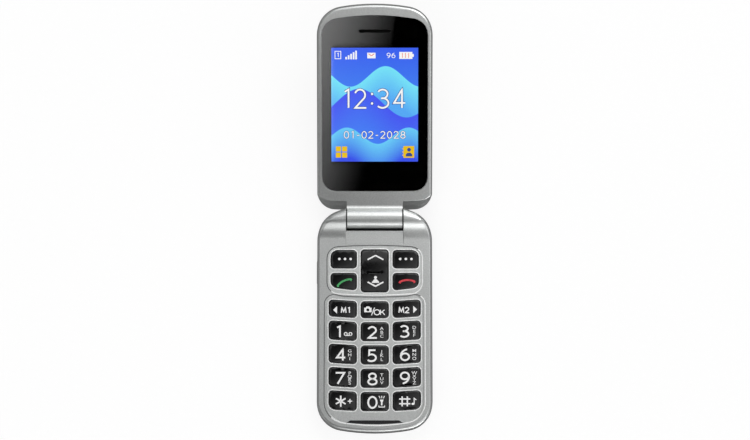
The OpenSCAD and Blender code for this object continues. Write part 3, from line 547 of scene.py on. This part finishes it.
def printed(name, shape, key, material):
    """Turns a flat sign, drawn in millimetres about the key's middle, into ink that lies on the key."""
    part = nodes[key]
    tree = BVHTree.FromPolygons([v.co for v in part.data.vertices], [p.vertices for p in part.data.polygons])
    low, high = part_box(key)
    middle = (low + high) / 2
    for v in shape.verts:
        x, y = middle.x + v.co.x * MM, middle.y + v.co.y * MM
        hit = tree.ray_cast(Vector((x, y, high.z + 1 * MM)), Vector((0, 0, -1)))[0]
        ground = hit.z if hit else high.z
        v.co = (x, y, ground + (ink_proud if v.co.z > 0.5 else -ink_sunk))
    return made_piece(name, shape, material, part["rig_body"])


def made_piece(name, shape, material, body):
    """A finished piece from a bmesh, riding on a body."""
    bmesh.ops.recalc_face_normals(shape, faces=shape.faces)
    mesh = bpy.data.meshes.new(name)
    shape.to_mesh(mesh)
    shape.free()
    mesh.materials.append(material)
    piece = bpy.data.objects.new(name, mesh)
    bpy.context.scene.collection.objects.link(piece)
    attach(piece, body)
    return piece


white_ink = moulded("white_pad_print_ink", "FFFFFF", 0.5, 1.5, 0.3, 0.003)
green_ink = moulded("green_pad_print_ink", "43A860", 0.45, 1.5, 0.3, 0.003)
red_ink = moulded("red_pad_print_ink", "DF3240", 0.45, 1.5, 0.3, 0.003)
print("ink stands", ink_proud / MM, "mm proud")

# %% [markdown]
# ## Beads on the keypad
# A low rounded bead runs round each sunken field and round each key opening. Its colour is painted light. Where a
# field's bead turns away from the light, at the top and on the left, it gets a dark grey painted shade that reads as
# a fine dark line. Elsewhere, and round every key opening, it gets a near-white painted highlight that reads as a
# pale line. All are swept along the outlines of the openings, which are read off the flat floor of the fields, so
# they fit exactly: an edge that only one flat triangle uses is on an outline. Where the mouthpiece slot cuts into
# the field, the bead passes below the slot.
# %% Sweep profiles along the openings
def flat_outlines(name, height):
    """Closed outlines, as lists of (x, y), of a part's flat upward faces at one height; the face is on the left."""
    mesh = nodes[name].data
    edges = set()
    for face in mesh.polygons:
        points = [tuple(round(c, 7) for c in mesh.vertices[i].co) for i in face.vertices]
        if face.normal.z > 0.99 and all(abs(p[2] - height) < 2e-6 for p in points):
            edges.update((a[:2], b[:2]) for a, b in zip(points, points[1:] + points[:1]))
    follow = {a: b for a, b in edges if (b, a) not in edges}
    outlines = []
    while follow:
        line = [next(iter(follow))]
        while (here := follow.pop(line[-1], None)) is not None and here != line[0]:
            line.append(here)
        outlines.append(line)
    return outlines


def area(line):
    return sum(a[0] * b[1] - b[0] * a[1] for a, b in zip(line, line[1:] + line[:1])) / 2


def moved_left(line, distance):
    """The outline moved to its left side by a distance."""
    count, moved = len(line), []
    for i in range(count):
        before, here, after = Vector(line[i - 1]), Vector(line[i]), Vector(line[(i + 1) % count])
        run_in, run_out = (here - before).normalized(), (after - here).normalized()
        side = Vector((-run_in.y - run_out.y, run_in.x + run_out.x)).normalized()
        moved.append(here + side * distance / max(side.dot(Vector((-run_in.y, run_in.x))), 0.5))
    return moved


def sweep(shape, line, profile, ground, kept=lambda side: True):
    """Sweeps a closed profile of (distance left, height) in millimetres along the kept stretches of an outline."""
    rows = [[shape.verts.new((p.x, p.y, ground + h * MM)) for p in moved_left(line, d * MM)] for d, h in profile]
    count = len(line)
    sides = [(Vector(line[(i + 1) % count]) - Vector(line[i])).normalized() for i in range(count)]
    keep = [kept(Vector((run.y, -run.x))) for run in sides]
    for i in range(count):
        j = (i + 1) % count
        if keep[i]:
            for low, high in zip(rows, rows[1:] + rows[:1]):
                shape.faces.new((low[i], low[j], high[j], high[i]))
            if not keep[i - 1]:
                shape.faces.new([row[i] for row in rows])
            if not keep[j]:
                shape.faces.new([row[j] for row in rows[::-1]])


def bead_profile(start, wide, high):
    """A low rounded bead with a flat underside just below the floor."""
    turns = [math.pi * i / 6 for i in range(7)]
    return [(start + wide / 2 - wide / 2 * math.cos(t), high * math.sin(t)) for t in turns] + [
        (start + wide, -0.04), (start, -0.04)]


def faces_light(outward):
    return outward.x - 0.8 * outward.y > 0


def heights_at(line, x):
    """Lowest and highest y at which an outline passes x."""
    passed = [a[1] + (b[1] - a[1]) * (x - a[0]) / (b[0] - a[0]) for a, b in zip(line, line[1:] + line[:1])
              if min(a[0], b[0]) <= x <= max(a[0], b[0]) and a[0] != b[0]]
    return (min(passed), max(passed)) if passed else (None, None)


def led_round(slot, line):
    """The outline, with its stretch along a slot's upper edge led round the slot's lower edge instead."""
    led = []
    for x, y in finely([(px / MM, py / MM) for px, py in line], True):
        low, high = heights_at(slot, x * MM)
        on_slot = high is not None and abs(y * MM - high) < 0.05 * MM
        led.append((x * MM, low if on_slot else y * MM))
    return led


# The beads' colours are painted light: a near-white painted highlight and a dark grey painted shade.
painted_highlight_lacquer = silver("painted_highlight_on_beads", "F6F7F6", 0.5, 0.1, metal=0.5)
painted_shade_lacquer = moulded("painted_shade_on_beads", "4A4B4C", 0.6, 1.5, 0.5, 0.01)
lower_wider = 24.25 / 23.5
lower_field_y = hinge.y - 60 * MM
least_opening = (5 * MM) ** 2
slot_depth, bead_lift = 1.5 * MM, 0.02 * MM
slot_floor = deck_z - slot_depth
slot = min(flat_outlines("base_front_housing", slot_floor), key=lambda line: min(y for x, y in line))
outlines = flat_outlines("base_front_housing", field_z)
bright, shaded = bmesh.new(), bmesh.new()
for line in outlines:
    if area(line) > 0:
        lower = min(y for x, y in line) < lower_field_y
        line = [(x * (lower_wider if lower else 1.0), y) for x, y in led_round(slot, line)]
        sweep(shaded, line, bead_profile(-0.4, 0.38, 0.05), deck_z + bead_lift, lambda side: not faces_light(side))
        sweep(bright, line, bead_profile(-0.45, 0.5, 0.07), deck_z + bead_lift, faces_light)
    elif abs(area(line)) > least_opening:
        sweep(bright, line, bead_profile(0.0, 0.45, 0.08), field_z)
made_piece("keypad_beads_painted_highlight", bright, painted_highlight_lacquer, "base")
made_piece("keypad_beads_painted_shade", shaded, painted_shade_lacquer, "base")
print("outlines found on the field floors:", len(outlines))

# %% [markdown]
# ## Mouthpiece gauze and hinge rings
# Behind the mouthpiece slot lies black gauze that keeps dust out, and at either end of the barrel a black nylon
# ring takes up the side play of the hinge. The rings fill the narrow gap at each end of the barrel, so their black
# also paints the shade that falls in that gap as a dark line. Both are small, yet without them the slot and the
# joints look empty.
# %% Gauze and rings
def skin(shape, rows, joined_ends=True):
    """Faces between neighbouring rows of corners; each row closes on itself."""
    for low, high in zip(rows, rows[1:] + rows[:1] if joined_ends else rows[1:]):
        for i in range(len(low)):
            shape.faces.new((low[i - 1], low[i], high[i], high[i - 1]))


# The rings' black is partly painted shade: it stands for the shade in the gaps at the barrel's ends.
nylon_and_gap_shade = moulded("black_nylon_ring_and_painted_gap_shade", "0B0B0C", 0.5, 1.53, texture_mm, 0.01)
shape = bmesh.new()
rows = [[shape.verts.new((p.x, p.y, slot_floor + h * MM)) for p in moved_left(slot, out * MM)]
        for out, h in ((-0.26, 1.175), (-0.26, 1.1), (0.03, 1.1), (0.03, -0.05))]
shape.faces.new(rows[0])
shape.faces.new(rows[-1][::-1])
skin(shape, rows, False)
mouth_gauze = moulded("charcoal_woven_gauze", "2E2E2F", 0.85, 1.5, 0.35, 0.05, {"Specular IOR Level": 0.1})
made_piece("mouthpiece_gauze", shape, mouth_gauze, "base")

ring_profile = [(13.35, 3.3), (13.35, 4.9), (13.42, 4.98), (13.9, 4.98), (13.97, 4.9), (13.97, 3.3)]
ring_steps = 72
for side, name in ((-1, "hinge_ring_left"), (1, "hinge_ring_right")):
    shape = bmesh.new()
    turns = [2 * math.pi * i / ring_steps for i in range(ring_steps)]
    rows = [[shape.verts.new(hinge + Vector((side * x, r * math.cos(turn), r * math.sin(turn))) * MM)
             for x, r in ring_profile] for turn in turns]
    skin(shape, rows)
    made_piece(name, shape, nylon_and_gap_shade, "lid")

# The earpiece slot cuts through the clear sheet, so its wall is painted black, or light would shine out of it.
slot_u, slot_half_x, slot_half_u = 91.8, 7.84, 0.74
shape = bmesh.new()
wall = []
for r, v in ((0.0, -0.405), (-0.15, -0.42), (-0.15, -1.38), (0.0, -1.38)):
    half_x = slot_half_x - slot_half_u
    turn = arc(half_x, 0, slot_half_u + r, slot_half_u + r, -90, 90, 10) + arc(-half_x, 0, slot_half_u + r,
                                                                             slot_half_u + r, 90, 270, 10)
    wall.append([shape.verts.new(lid_point(x * MM, (slot_u + y) * MM, v * MM)) for x, y in turn])
skin(shape, wall)
made_piece("earpiece_slot_paint", shape, gauze, "lid")
print("slot outline points:", len(slot))

# %% [markdown]
# ## Number keys
# Each number key has a tall numeral left of its middle and its letters stacked on the right, which every phone
# keypad shares. Numerals are 6.2 mm tall with a 0.84 mm pen; letters are 1.4 mm tall, set by the font and turned
# into mesh.
# %% Numerals and stacked letters
numeral_h, numeral_pen = 6.2, 0.84
letter_h, letter_wide, letter_x = 1.45, 1.25, 3.42
numeral_x, legend_y = -1.1, -0.4
key_pitch_mm = 15.48
LETTERS = {"2": "ABC", "3": "DEF", "4": "GHI", "5": "JKL", "6": "MNO", "7": "PQRS", "8": "TUV", "9": "WXYZ"}


def add_letter(shape, letter, x, y, height, wide):
    """Adds one capital of Blender's own font, centred on x and y, as a thin solid."""
    text = bpy.data.curves.new("letter", "FONT")
    text.body, text.align_x, text.extrude, text.offset = letter, "CENTER", 0.5, 0.004
    text.resolution_u = 3
    holder = bpy.data.objects.new("letter", text)
    mesh = bpy.data.meshes.new_from_object(holder)
    scale = height / 0.69
    for v in mesh.vertices:
        v.co = (x + v.co.x * scale * wide, y - height / 2 + v.co.y * scale, 1 if v.co.z > 0 else 0)
    shape.from_mesh(mesh)
    bpy.data.objects.remove(holder)
    bpy.data.meshes.remove(mesh)
    bpy.data.curves.remove(text)


def column(key):
    """-1, 0 or 1 for a key in the left, middle or right column."""
    low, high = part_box(key)
    return round((low.x + high.x) / 2 / (key_pitch_mm * MM))


for digit in "0123456789":
    key = "key_" + digit
    side = column(key)
    shape = bmesh.new()
    low_by = legend_y - (0.15 if side < 0 else 0)
    add_text(shape, digit, numeral_x + 0.22 * side - (0.5 if digit == "1" else 0), low_by, numeral_h, numeral_pen)
    stack = LETTERS.get(digit, "")
    pitch = 1.9 if len(stack) < 4 else 1.62
    for i, letter in enumerate(stack):
        above = (len(stack) - 1) / 2 - i
        add_letter(shape, letter, letter_x + (0.25 if side > 0 else 0), low_by + 0.1 + above * pitch,
                   letter_h, letter_wide)
    printed("legend_" + digit, shape, key, white_ink)
print("legends on", len("0123456789"), "number keys")

# %% [markdown]
# ## Signs on the other keys
# Star, hash, memory, camera, direction, menu and handset signs follow. All are common signs drawn with the pen:
# a chevron is two strokes, a handset is a bent bar with heavier ends, a torch is a bar with three rays.
# %% Signs on the remaining keys
def sign(name, key, strokes=(), shapes=(), text=None, ink=white_ink):
    """Prints one sign: pen strokes as (points, width, closed or not), filled outlines and at most one text."""
    shape = bmesh.new()
    for line in strokes:
        add_stroke(shape, *line)
    for outline in shapes:
        add_shape(shape, outline)
    if text:
        add_text(shape, *text)
    printed(name, shape, key, ink)


def turned(points, angle, x=0.0, y=0.0):
    """Points turned by an angle in degrees and moved."""
    c, s = math.cos(math.radians(angle)), math.sin(math.radians(angle))
    return [(x + px * c - py * s, y + px * s + py * c) for px, py in points]


star = [(turned([(-2.7, 0), (2.7, 0)], angle, -0.87, -0.3), 0.72) for angle in (30, 90, 150)]
plus = [([(2.5, -0.3), (4.6, -0.3)], 0.5), ([(3.55, -1.35), (3.55, 0.75)], 0.5)]
sign("legend_star", "key_star", star + plus)

bars = [([(-3.7, -0.4 + y), (1.7, -0.4 + y)], 0.68) for y in (-1.15, 1.15)]
posts = [([(-1.0 + x, -2.8), (-1.0 + x, 2.0)], 0.68) for x in (-1.25, 1.25)]
note_stem = ([(3.55, -1.6), (3.55, 1.1), (4.6, 0.3)], 0.45)
sign("legend_hash", "key_hash", bars + posts + [note_stem], [ring(3.0, -1.6, 0.75, 0.55, 14)])

reels = [(ring(x, -1.65, 0.72, 0.72, 16), 0.42, True) for x in (1.48, 3.76)]
sign("sign_messages", "key_1", reels + [([(1.48, -2.37), (3.76, -2.37)], 0.42)])

torch = [(2.5, 0.95), (4.3, 0.95), (4.0, 0.1), (3.75, -0.25), (3.75, -1.85), (3.05, -1.85), (3.05, -0.25), (2.8, 0.1)]
rays = [([(3.4 + x * 0.6, 1.6), (3.4 + x, y)], 0.4) for x, y in ((-1.35, 2.75), (0, 2.8), (1.35, 2.75))]
dish = ([(1.95, -1.95), (2.1, -2.65), (4.7, -2.65), (4.85, -1.95)], 0.42)
sign("sign_torch", "key_0", rays + [dish], [torch])

sign("legend_memory_1", "key_m1", shapes=[[(-4.7, -0.6), (-2.75, 1.2), (-2.75, -2.4)]],
     text=("M1", 1.55, -0.75, 3.05, 0.52, 0.25))
sign("legend_memory_2", "key_m2", shapes=[[(5.07, -0.4), (3.2, 1.4), (3.2, -2.2)]],
     text=("M2", -1.25, -0.7, 3.05, 0.52, 0.25))
camera_shape = [(-5.1, -1.25), (-1.5, -1.25), (-1.5, 0.95), (-2.2, 0.95), (-2.6, 1.55), (-4.0, 1.55), (-4.4, 0.95),
                (-5.1, 0.95)]
sign("legend_ok", "key_ok", [([(-1.55, -2.75), (-0.05, 1.0)], 0.42)], [camera_shape],
     ("OK", 2.4, -1.3, 2.95, 0.46, 0.2, 1.22))
sign("camera_sign_hole", "key_ok", shapes=[ring(-3.3, -0.1, 0.72, 0.72, 18)], ink=gloss_black)
for side, x in (("left", 0.65), ("right", 0.05)):
    dots = [ring(i * 2.75 + x, 0.05, 0.62, 0.62, 18) for i in (-1, 0, 1)]
    sign("menu_dots_" + side, "key_soft_" + side, shapes=dots)

nav_x = 0.4
bent = ((-3.85, 5.5), (-0.25, 7.45), (0.25, 7.45), (3.85, 5.5))
chevrons = [([(nav_x + x, side * y) for x, y in bent], 0.7) for side in (-1, 1)]
shoulder = [(-1.7, -5.95), (-1.65, -5.3), (-1.1, -4.75), (-0.55, -4.1)]
pawn = [(nav_x + x, y) for x, y in shoulder + [(-x, y) for x, y in reversed(shoulder)]]
sign("signs_direction", "key_nav", chevrons, [ring(nav_x, -3.3, 0.72, 0.72, 16), pawn])

receiver = arc(0, -8.4, 9.05, 9.05, 115, 65, 12) + [(4.15, -1.0), (3.2, -1.5)]
receiver += arc(0, -8.4, 8.15, 8.15, 68, 112, 12) + [(-3.2, -1.5), (-4.15, -1.0)]
sign("sign_answer", "key_call", shapes=[turned(receiver, 26, 0.05, 0.05)], ink=green_ink)
sign("sign_hang_up", "key_end", shapes=[turned(receiver, 2, 0.65, 0.5)], ink=red_ink)

# %% [markdown]
# ## Signs on the display
# A status row, a clock, a row of figures and two menu signs, all plain and generic. They are lit parts of the
# picture, so they too emit light. White figures have a dark blue edge behind them, which keeps them legible over
# the waves, and lie a hair above the panel, under the window.
# %% Lit signs on the panel
panel_v = -1.64 * MM
layer = 0.02 * MM
cell_mm = 0.3


def lit(name, code):
    """A colour of the lit picture, with the faint cell texture of a display."""
    material, tree, shader = finish_named(name, screen_values)
    shade = spread(tree, noise(tree, cell_mm, 2.0, where_on(tree)), 0.94, 1.04)
    tree.links.new(mixed(tree, 1.0, linear(code), shade, "MULTIPLY"), shader.inputs["Emission Color"])
    return material


lit_white, lit_edge = lit("lit_white_pixels", "FFFFFF"), lit("lit_dark_blue_pixels", "3A4E96")
lit_yellow, lit_red = lit("lit_yellow_pixels", "F2C61E"), lit("lit_red_pixels", "F08A80")


def box(left, low, right, high):
    """Corners of an upright rectangle."""
    return [(left, low), (right, low), (right, high), (left, high)]


def on_panel(name, shape, material, level=1):
    """Turns a flat sign, in millimetres about the picture's middle, into a lit layer on the panel."""
    for v in shape.verts:
        height = panel_v + layer * (level - 1 + v.co.z)
        v.co = lid_point(v.co.x * MM, screen_u + v.co.y * MM, height)
    return made_piece(name, shape, material, "lid")


shape, edge = bmesh.new(), bmesh.new()
for target, halo in ((shape, 0.0), (edge, 0.55)):
    add_text(target, "12:34", -0.65, 3.0, 9.8, 0.85, 0.155, 0.79, halo)
    add_text(target, "01-02-2028", 0, -14.7, 3.7, 0.42, 0.3, 0.86, halo * 0.7)
on_panel("clock_edge", edge, lit_edge, 1)

for i in range(5):
    left = -14.2 + i * 1.2
    add_shape(shape, box(left, 22.2, left + 0.8, 23.4 + i * 0.75))
add_shape(shape, box(-3.6, 22.7, 0.4, 25.4))
add_shape(shape, [(11.9, 22.4), (18.2, 22.4), (18.2, 23.4), (18.9, 23.4), (18.9, 24.8), (18.2, 24.8), (18.2, 25.8),
                  (11.9, 25.8)])
add_stroke(shape, [(-19.2, 22.5), (-19.2, 26.1), (-16.4, 26.1), (-16.4, 22.5)], 0.35, True)
add_text(shape, "1", -17.8, 24.3, 2.2, 0.35)
add_text(shape, "96", 7.9, 24.1, 2.6, 0.32, 0.3, 0.9)
on_panel("clock_and_status", shape, lit_white, 2)

shape = bmesh.new()
add_stroke(shape, [(-3.0, 24.9), (-1.6, 23.9), (-0.2, 24.9)], 0.4)
for i in range(3):
    add_stroke(shape, [(13.4 + i * 1.5, 22.9), (13.4 + i * 1.5, 25.3)], 0.35)
on_panel("status_details", shape, lit_red, 3)

shape = bmesh.new()
for x in (-18.9, -15.9):
    for y in (-25.9, -22.9):
        add_shape(shape, box(x, y, x + 2.5, y + 2.5))
add_shape(shape, box(14.0, -26.0, 19.2, -20.2))
for i in (-1, 0, 1):
    add_stroke(shape, [(13.4, -23.1 + i * 1.6), (14.4, -23.1 + i * 1.6)], 0.5)
on_panel("menu_signs", shape, lit_yellow, 2)

shape = bmesh.new()
add_shape(shape, ring(16.7, -22.0, 0.95, 0.95, 16))
add_shape(shape, [(15.0, -25.3), (15.2, -24.2), (16.0, -23.5), (17.4, -23.5), (18.2, -24.2), (18.4, -25.3)])
on_panel("contact_sign", shape, lit_edge, 3)
print("lit signs ride on the lid")

# %% [markdown]
# ## Floor, background and studio
# The floor is matt grey paper. An emission that only the camera and mirrors see lifts it to white, and the phone
# still throws its soft shadow on it. The world is plain white to the camera, in gloss and through glass, and a
# calm grey light for everything else.
# %% Floor and world
floor_size = 6.0
floor_z = cad_box[0].z - 0.02 * MM
floor_lift = 0.84
ambient = 0.72
fibre_mm = 2.0
square = ((-1, -1), (1, -1), (1, 1), (-1, 1))


def seen_directly(tree):
    """1 for what the camera sees, also in gloss and through glass, and 0 for light that falls on things."""
    path = add(tree, "ShaderNodeLightPath").outputs
    first = reckon(tree, "MAXIMUM", path["Is Camera Ray"], path["Is Glossy Ray"])
    return reckon(tree, "MAXIMUM", first, path["Is Transmission Ray"])


def empty_material(name):
    material = bpy.data.materials.new(name)
    material.use_nodes = True
    material.node_tree.nodes.clear()
    return material, material.node_tree


floor_paint, tree = empty_material("matt_grey_paper")
tone = spread(tree, noise(tree, fibre_mm, 2.0, where_on(tree)), 0.18, 0.21)
paper = add(tree, "ShaderNodeBsdfDiffuse", inputs={"Color": tone})
glow = add(tree, "ShaderNodeEmission", inputs={"Strength": reckon(tree, "MULTIPLY", seen_directly(tree), floor_lift)})
both = add(tree, "ShaderNodeAddShader", inputs={0: paper.outputs[0], 1: glow.outputs[0]})
add(tree, "ShaderNodeOutputMaterial", inputs={"Surface": both.outputs[0]})


def staged(name, corners, material):
    """A flat four-cornered thing that is part of the studio, with its corners as UV."""
    mesh = bpy.data.meshes.new(name)
    mesh.from_pydata(corners, [], [(0, 1, 2, 3)])
    mesh.uv_layers.new(name="card")
    for loop, uv in zip(mesh.uv_layers[0].data, ((0, 0), (1, 0), (1, 1), (0, 1))):
        loop.uv = uv
    mesh.materials.append(material)
    thing = bpy.data.objects.new(name, mesh)
    bpy.context.scene.collection.objects.link(thing)
    return thing


half = floor_size / 2
staged("floor", [(x * half, y * half, floor_z) for x, y in square], floor_paint)
world = bpy.data.worlds.new("studio")
world.use_nodes = True
bpy.context.scene.world = world
tree = world.node_tree
tree.nodes.clear()
level = spread(tree, seen_directly(tree), ambient, 1.0)
sky = add(tree, "ShaderNodeBackground", inputs={"Strength": level})
add(tree, "ShaderNodeOutputWorld", inputs={"Surface": sky.outputs[0]})
print("floor", floor_size, "m square at", round(floor_z / MM, 3), "mm")

# %% [markdown]
# ## Softboxes
# Two softboxes give the soft shadow. They are kept out of reflections, because what a shiny thing mirrors is
# set separately, with cards, as a studio photographer does with silver and black gloss.
# %% Lights
def toward(off_vertical, sideways=0.0):
    """A direction: degrees off straight up, positive beyond the lid and negative before the keypad."""
    t, a = math.radians(off_vertical), math.radians(sideways)
    return Vector((math.sin(a), math.sin(t) * math.cos(a), math.cos(t) * math.cos(a)))


def softbox(name, away, distance, width, height, watts):
    """An area light that looks at the hinge and isn't seen in gloss."""
    lamp = bpy.data.lights.new(name, "AREA")
    lamp.shape, lamp.size, lamp.size_y, lamp.energy = "RECTANGLE", width, height, watts
    holder = bpy.data.objects.new(name, lamp)
    holder.location = hinge + away * distance
    holder.rotation_euler = away.to_track_quat("Z", "Y").to_euler()
    holder.visible_glossy = False
    bpy.context.scene.collection.objects.link(holder)


softbox("softbox_beyond", toward(35, 12), 1.3, 1.0, 0.6, 3.2)
softbox("softbox_before", toward(-40, -10), 1.3, 1.0, 0.5, 2.0)

# %% [markdown]
# ## Cards for the silver
# Silver shows its shape only by what it mirrors. A bright card beyond the lid draws the upper band on the barrel
# and along the lid's far rim, a fainter one before the keypad draws the lower band, and a dark one above the
# keypad's near side shades the chin of the lid. A dark wall and a dark sheet on the floor draw the phone's outline
# against the white. All are seen only in gloss and through the window.
# %% Cards round the phone


def card(name, corners, shade):
    """A card seen in gloss; shade adds nodes for its brightness by place across and up, from 0 to 1."""
    material, tree = empty_material(name)
    place = add(tree, "ShaderNodeTexCoord")
    split = add(tree, "ShaderNodeSeparateXYZ", inputs={0: place.outputs["UV"]})
    glow = add(tree, "ShaderNodeEmission", inputs={"Strength": shade(tree, split.outputs["X"], split.outputs["Y"])})
    add(tree, "ShaderNodeOutputMaterial", inputs={"Surface": glow.outputs[0]})
    thing = staged(name, corners, material)
    thing.visible_camera = thing.visible_diffuse = thing.visible_shadow = thing.visible_volume_scatter = False


def sloped(left, right, start=0.0, end=1.0):
    """Brightness that goes evenly from left to right between two places across the card."""
    return lambda tree, x, y: spread(tree, x, left, right, start, end)


def card_between(name, low, high, half, shade):
    """A card between the middles of two of its edges, with half of such an edge."""
    card(name, [low - half, low + half, high + half, high - half], shade)


def strip(name, near_edge, far_edge, half_width, shade, distance):
    """A card between two angles off straight up, as wide as asked to either side."""
    low, high = hinge + toward(near_edge) * distance, hinge + toward(far_edge) * distance
    card_between(name, low, high, Vector((half_width, 0, 0)), shade)


strip("bright_card_beyond", 20, 66, 0.25, sloped(0.0, 5.0, 0.18), 0.32)
strip("bright_card_before", -71, -92, 0.25, sloped(0.0, 6.2, 0.26), 0.3)
strip("dark_card_before", -12, -56, 0.3, sloped(0.02, 1.9, 0.44), 0.45)
side_range, side_half, side_tone = 1.2, 0.45, 0.2
for name, side in (("dark_card_left", -1), ("dark_card_right", 1)):
    low, high = (hinge + toward(0, side * angle) * side_range for angle in (30, 78))
    card_between(name, low, high, Vector((0, side_half, 0)), sloped(side_tone, side_tone))
wall_far, wall_top, wall_tone, mat_tone = 2.2, 0.55, 0.28, 0.2
feet = [Vector((x * wall_far, y * wall_far, floor_z)) for x, y in square]
rise, mat_rise = Vector((0, 0, wall_top)), Vector((0, 0, 0.01 * MM))
for i, (a, b) in enumerate(zip(feet, feet[1:] + feet[:1])):
    card("dark_wall_" + str(i), [a, b, b + rise, a + rise], sloped(wall_tone, wall_tone))
card("dark_floor_mat", [foot + mat_rise for foot in feet], sloped(mat_tone, mat_tone))
print("dark walls stand", wall_far, "m away")

# %% [markdown]
# ## Cards for the black gloss
# The window mirrors a small graded card: bright at its left, fading to the right and downward, and cut off along
# a slightly slanting line. Its corners are found by reflecting the window's own corners, so the card's middle can
# be kept dark where the picture is, and the picture keeps its depth. The keys mirror a card that runs from dark
# at the upper left to lighter at the lower right.
# %% Cards for the window and the keys
window_card_range = 0.4
window_x, window_low, window_high = 25.7 * MM, 13.3 * MM, 99.4 * MM


def mirrored_point(point, normal, distance):
    """Where the camera's ray is after mirroring at a point and going on for a distance."""
    ray = (point - camera.location).normalized()
    return point + (ray - 2 * ray.dot(normal) * normal) * distance


def smooth(tree, value, start, end, low, high):
    return spread(tree, value, low, high, start, end, "SMOOTHSTEP")


def times(tree, first, *others):
    for other in others:
        first = reckon(tree, "MULTIPLY", first, other)
    return first


def window_shade(tree, x, y):
    """Grey that fades to the right and downward, cut off along a slanting line and dim over the picture."""
    cut = smooth(tree, reckon(tree, "MULTIPLY_ADD", y, -0.21, x), 0.465, 0.495, 1.0, 0.0)
    fade = smooth(tree, reckon(tree, "MULTIPLY_ADD", y, -0.45, x), -0.70, 0.38, 2.6, 0.0)
    from_left = smooth(tree, x, 0.07, 0.13, 0.0, 1.0)
    from_top = smooth(tree, y, 0.80, 0.85, 1.0, 0.0)
    from_low = smooth(tree, y, 0.14, 0.19, 0.0, 1.0)
    dim = spread(tree, times(tree, from_left, from_top, from_low), 1.0, 0.12)
    return times(tree, fade, cut, dim)


card("card_for_window", [mirrored_point(lid_point(x, u, -0.4 * MM), lid_up, window_card_range) for x, u in
     ((-window_x, window_low), (window_x, window_low), (window_x, window_high), (-window_x, window_high))],
     window_shade)


def key_shade(tree, x, y):
    """Dark at the upper left, light at the lower right of what a key mirrors."""
    return smooth(tree, reckon(tree, "SUBTRACT", x, y), -0.55, 0.6, 0.02, 0.8)


key_card_range, key_card_half = 2.3, (0.43, 0.36)
key_middle = (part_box("key_5")[0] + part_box("key_5")[1]) / 2
ray = mirrored_point(key_middle, Vector((0, 0, 1)), key_card_range)
card("card_for_keys", [ray + Vector((x * key_card_half[0], y * key_card_half[1], 0)) for x, y in square], key_shade)
print("card for the keys at", [round(c, 2) for c in ray], "m")
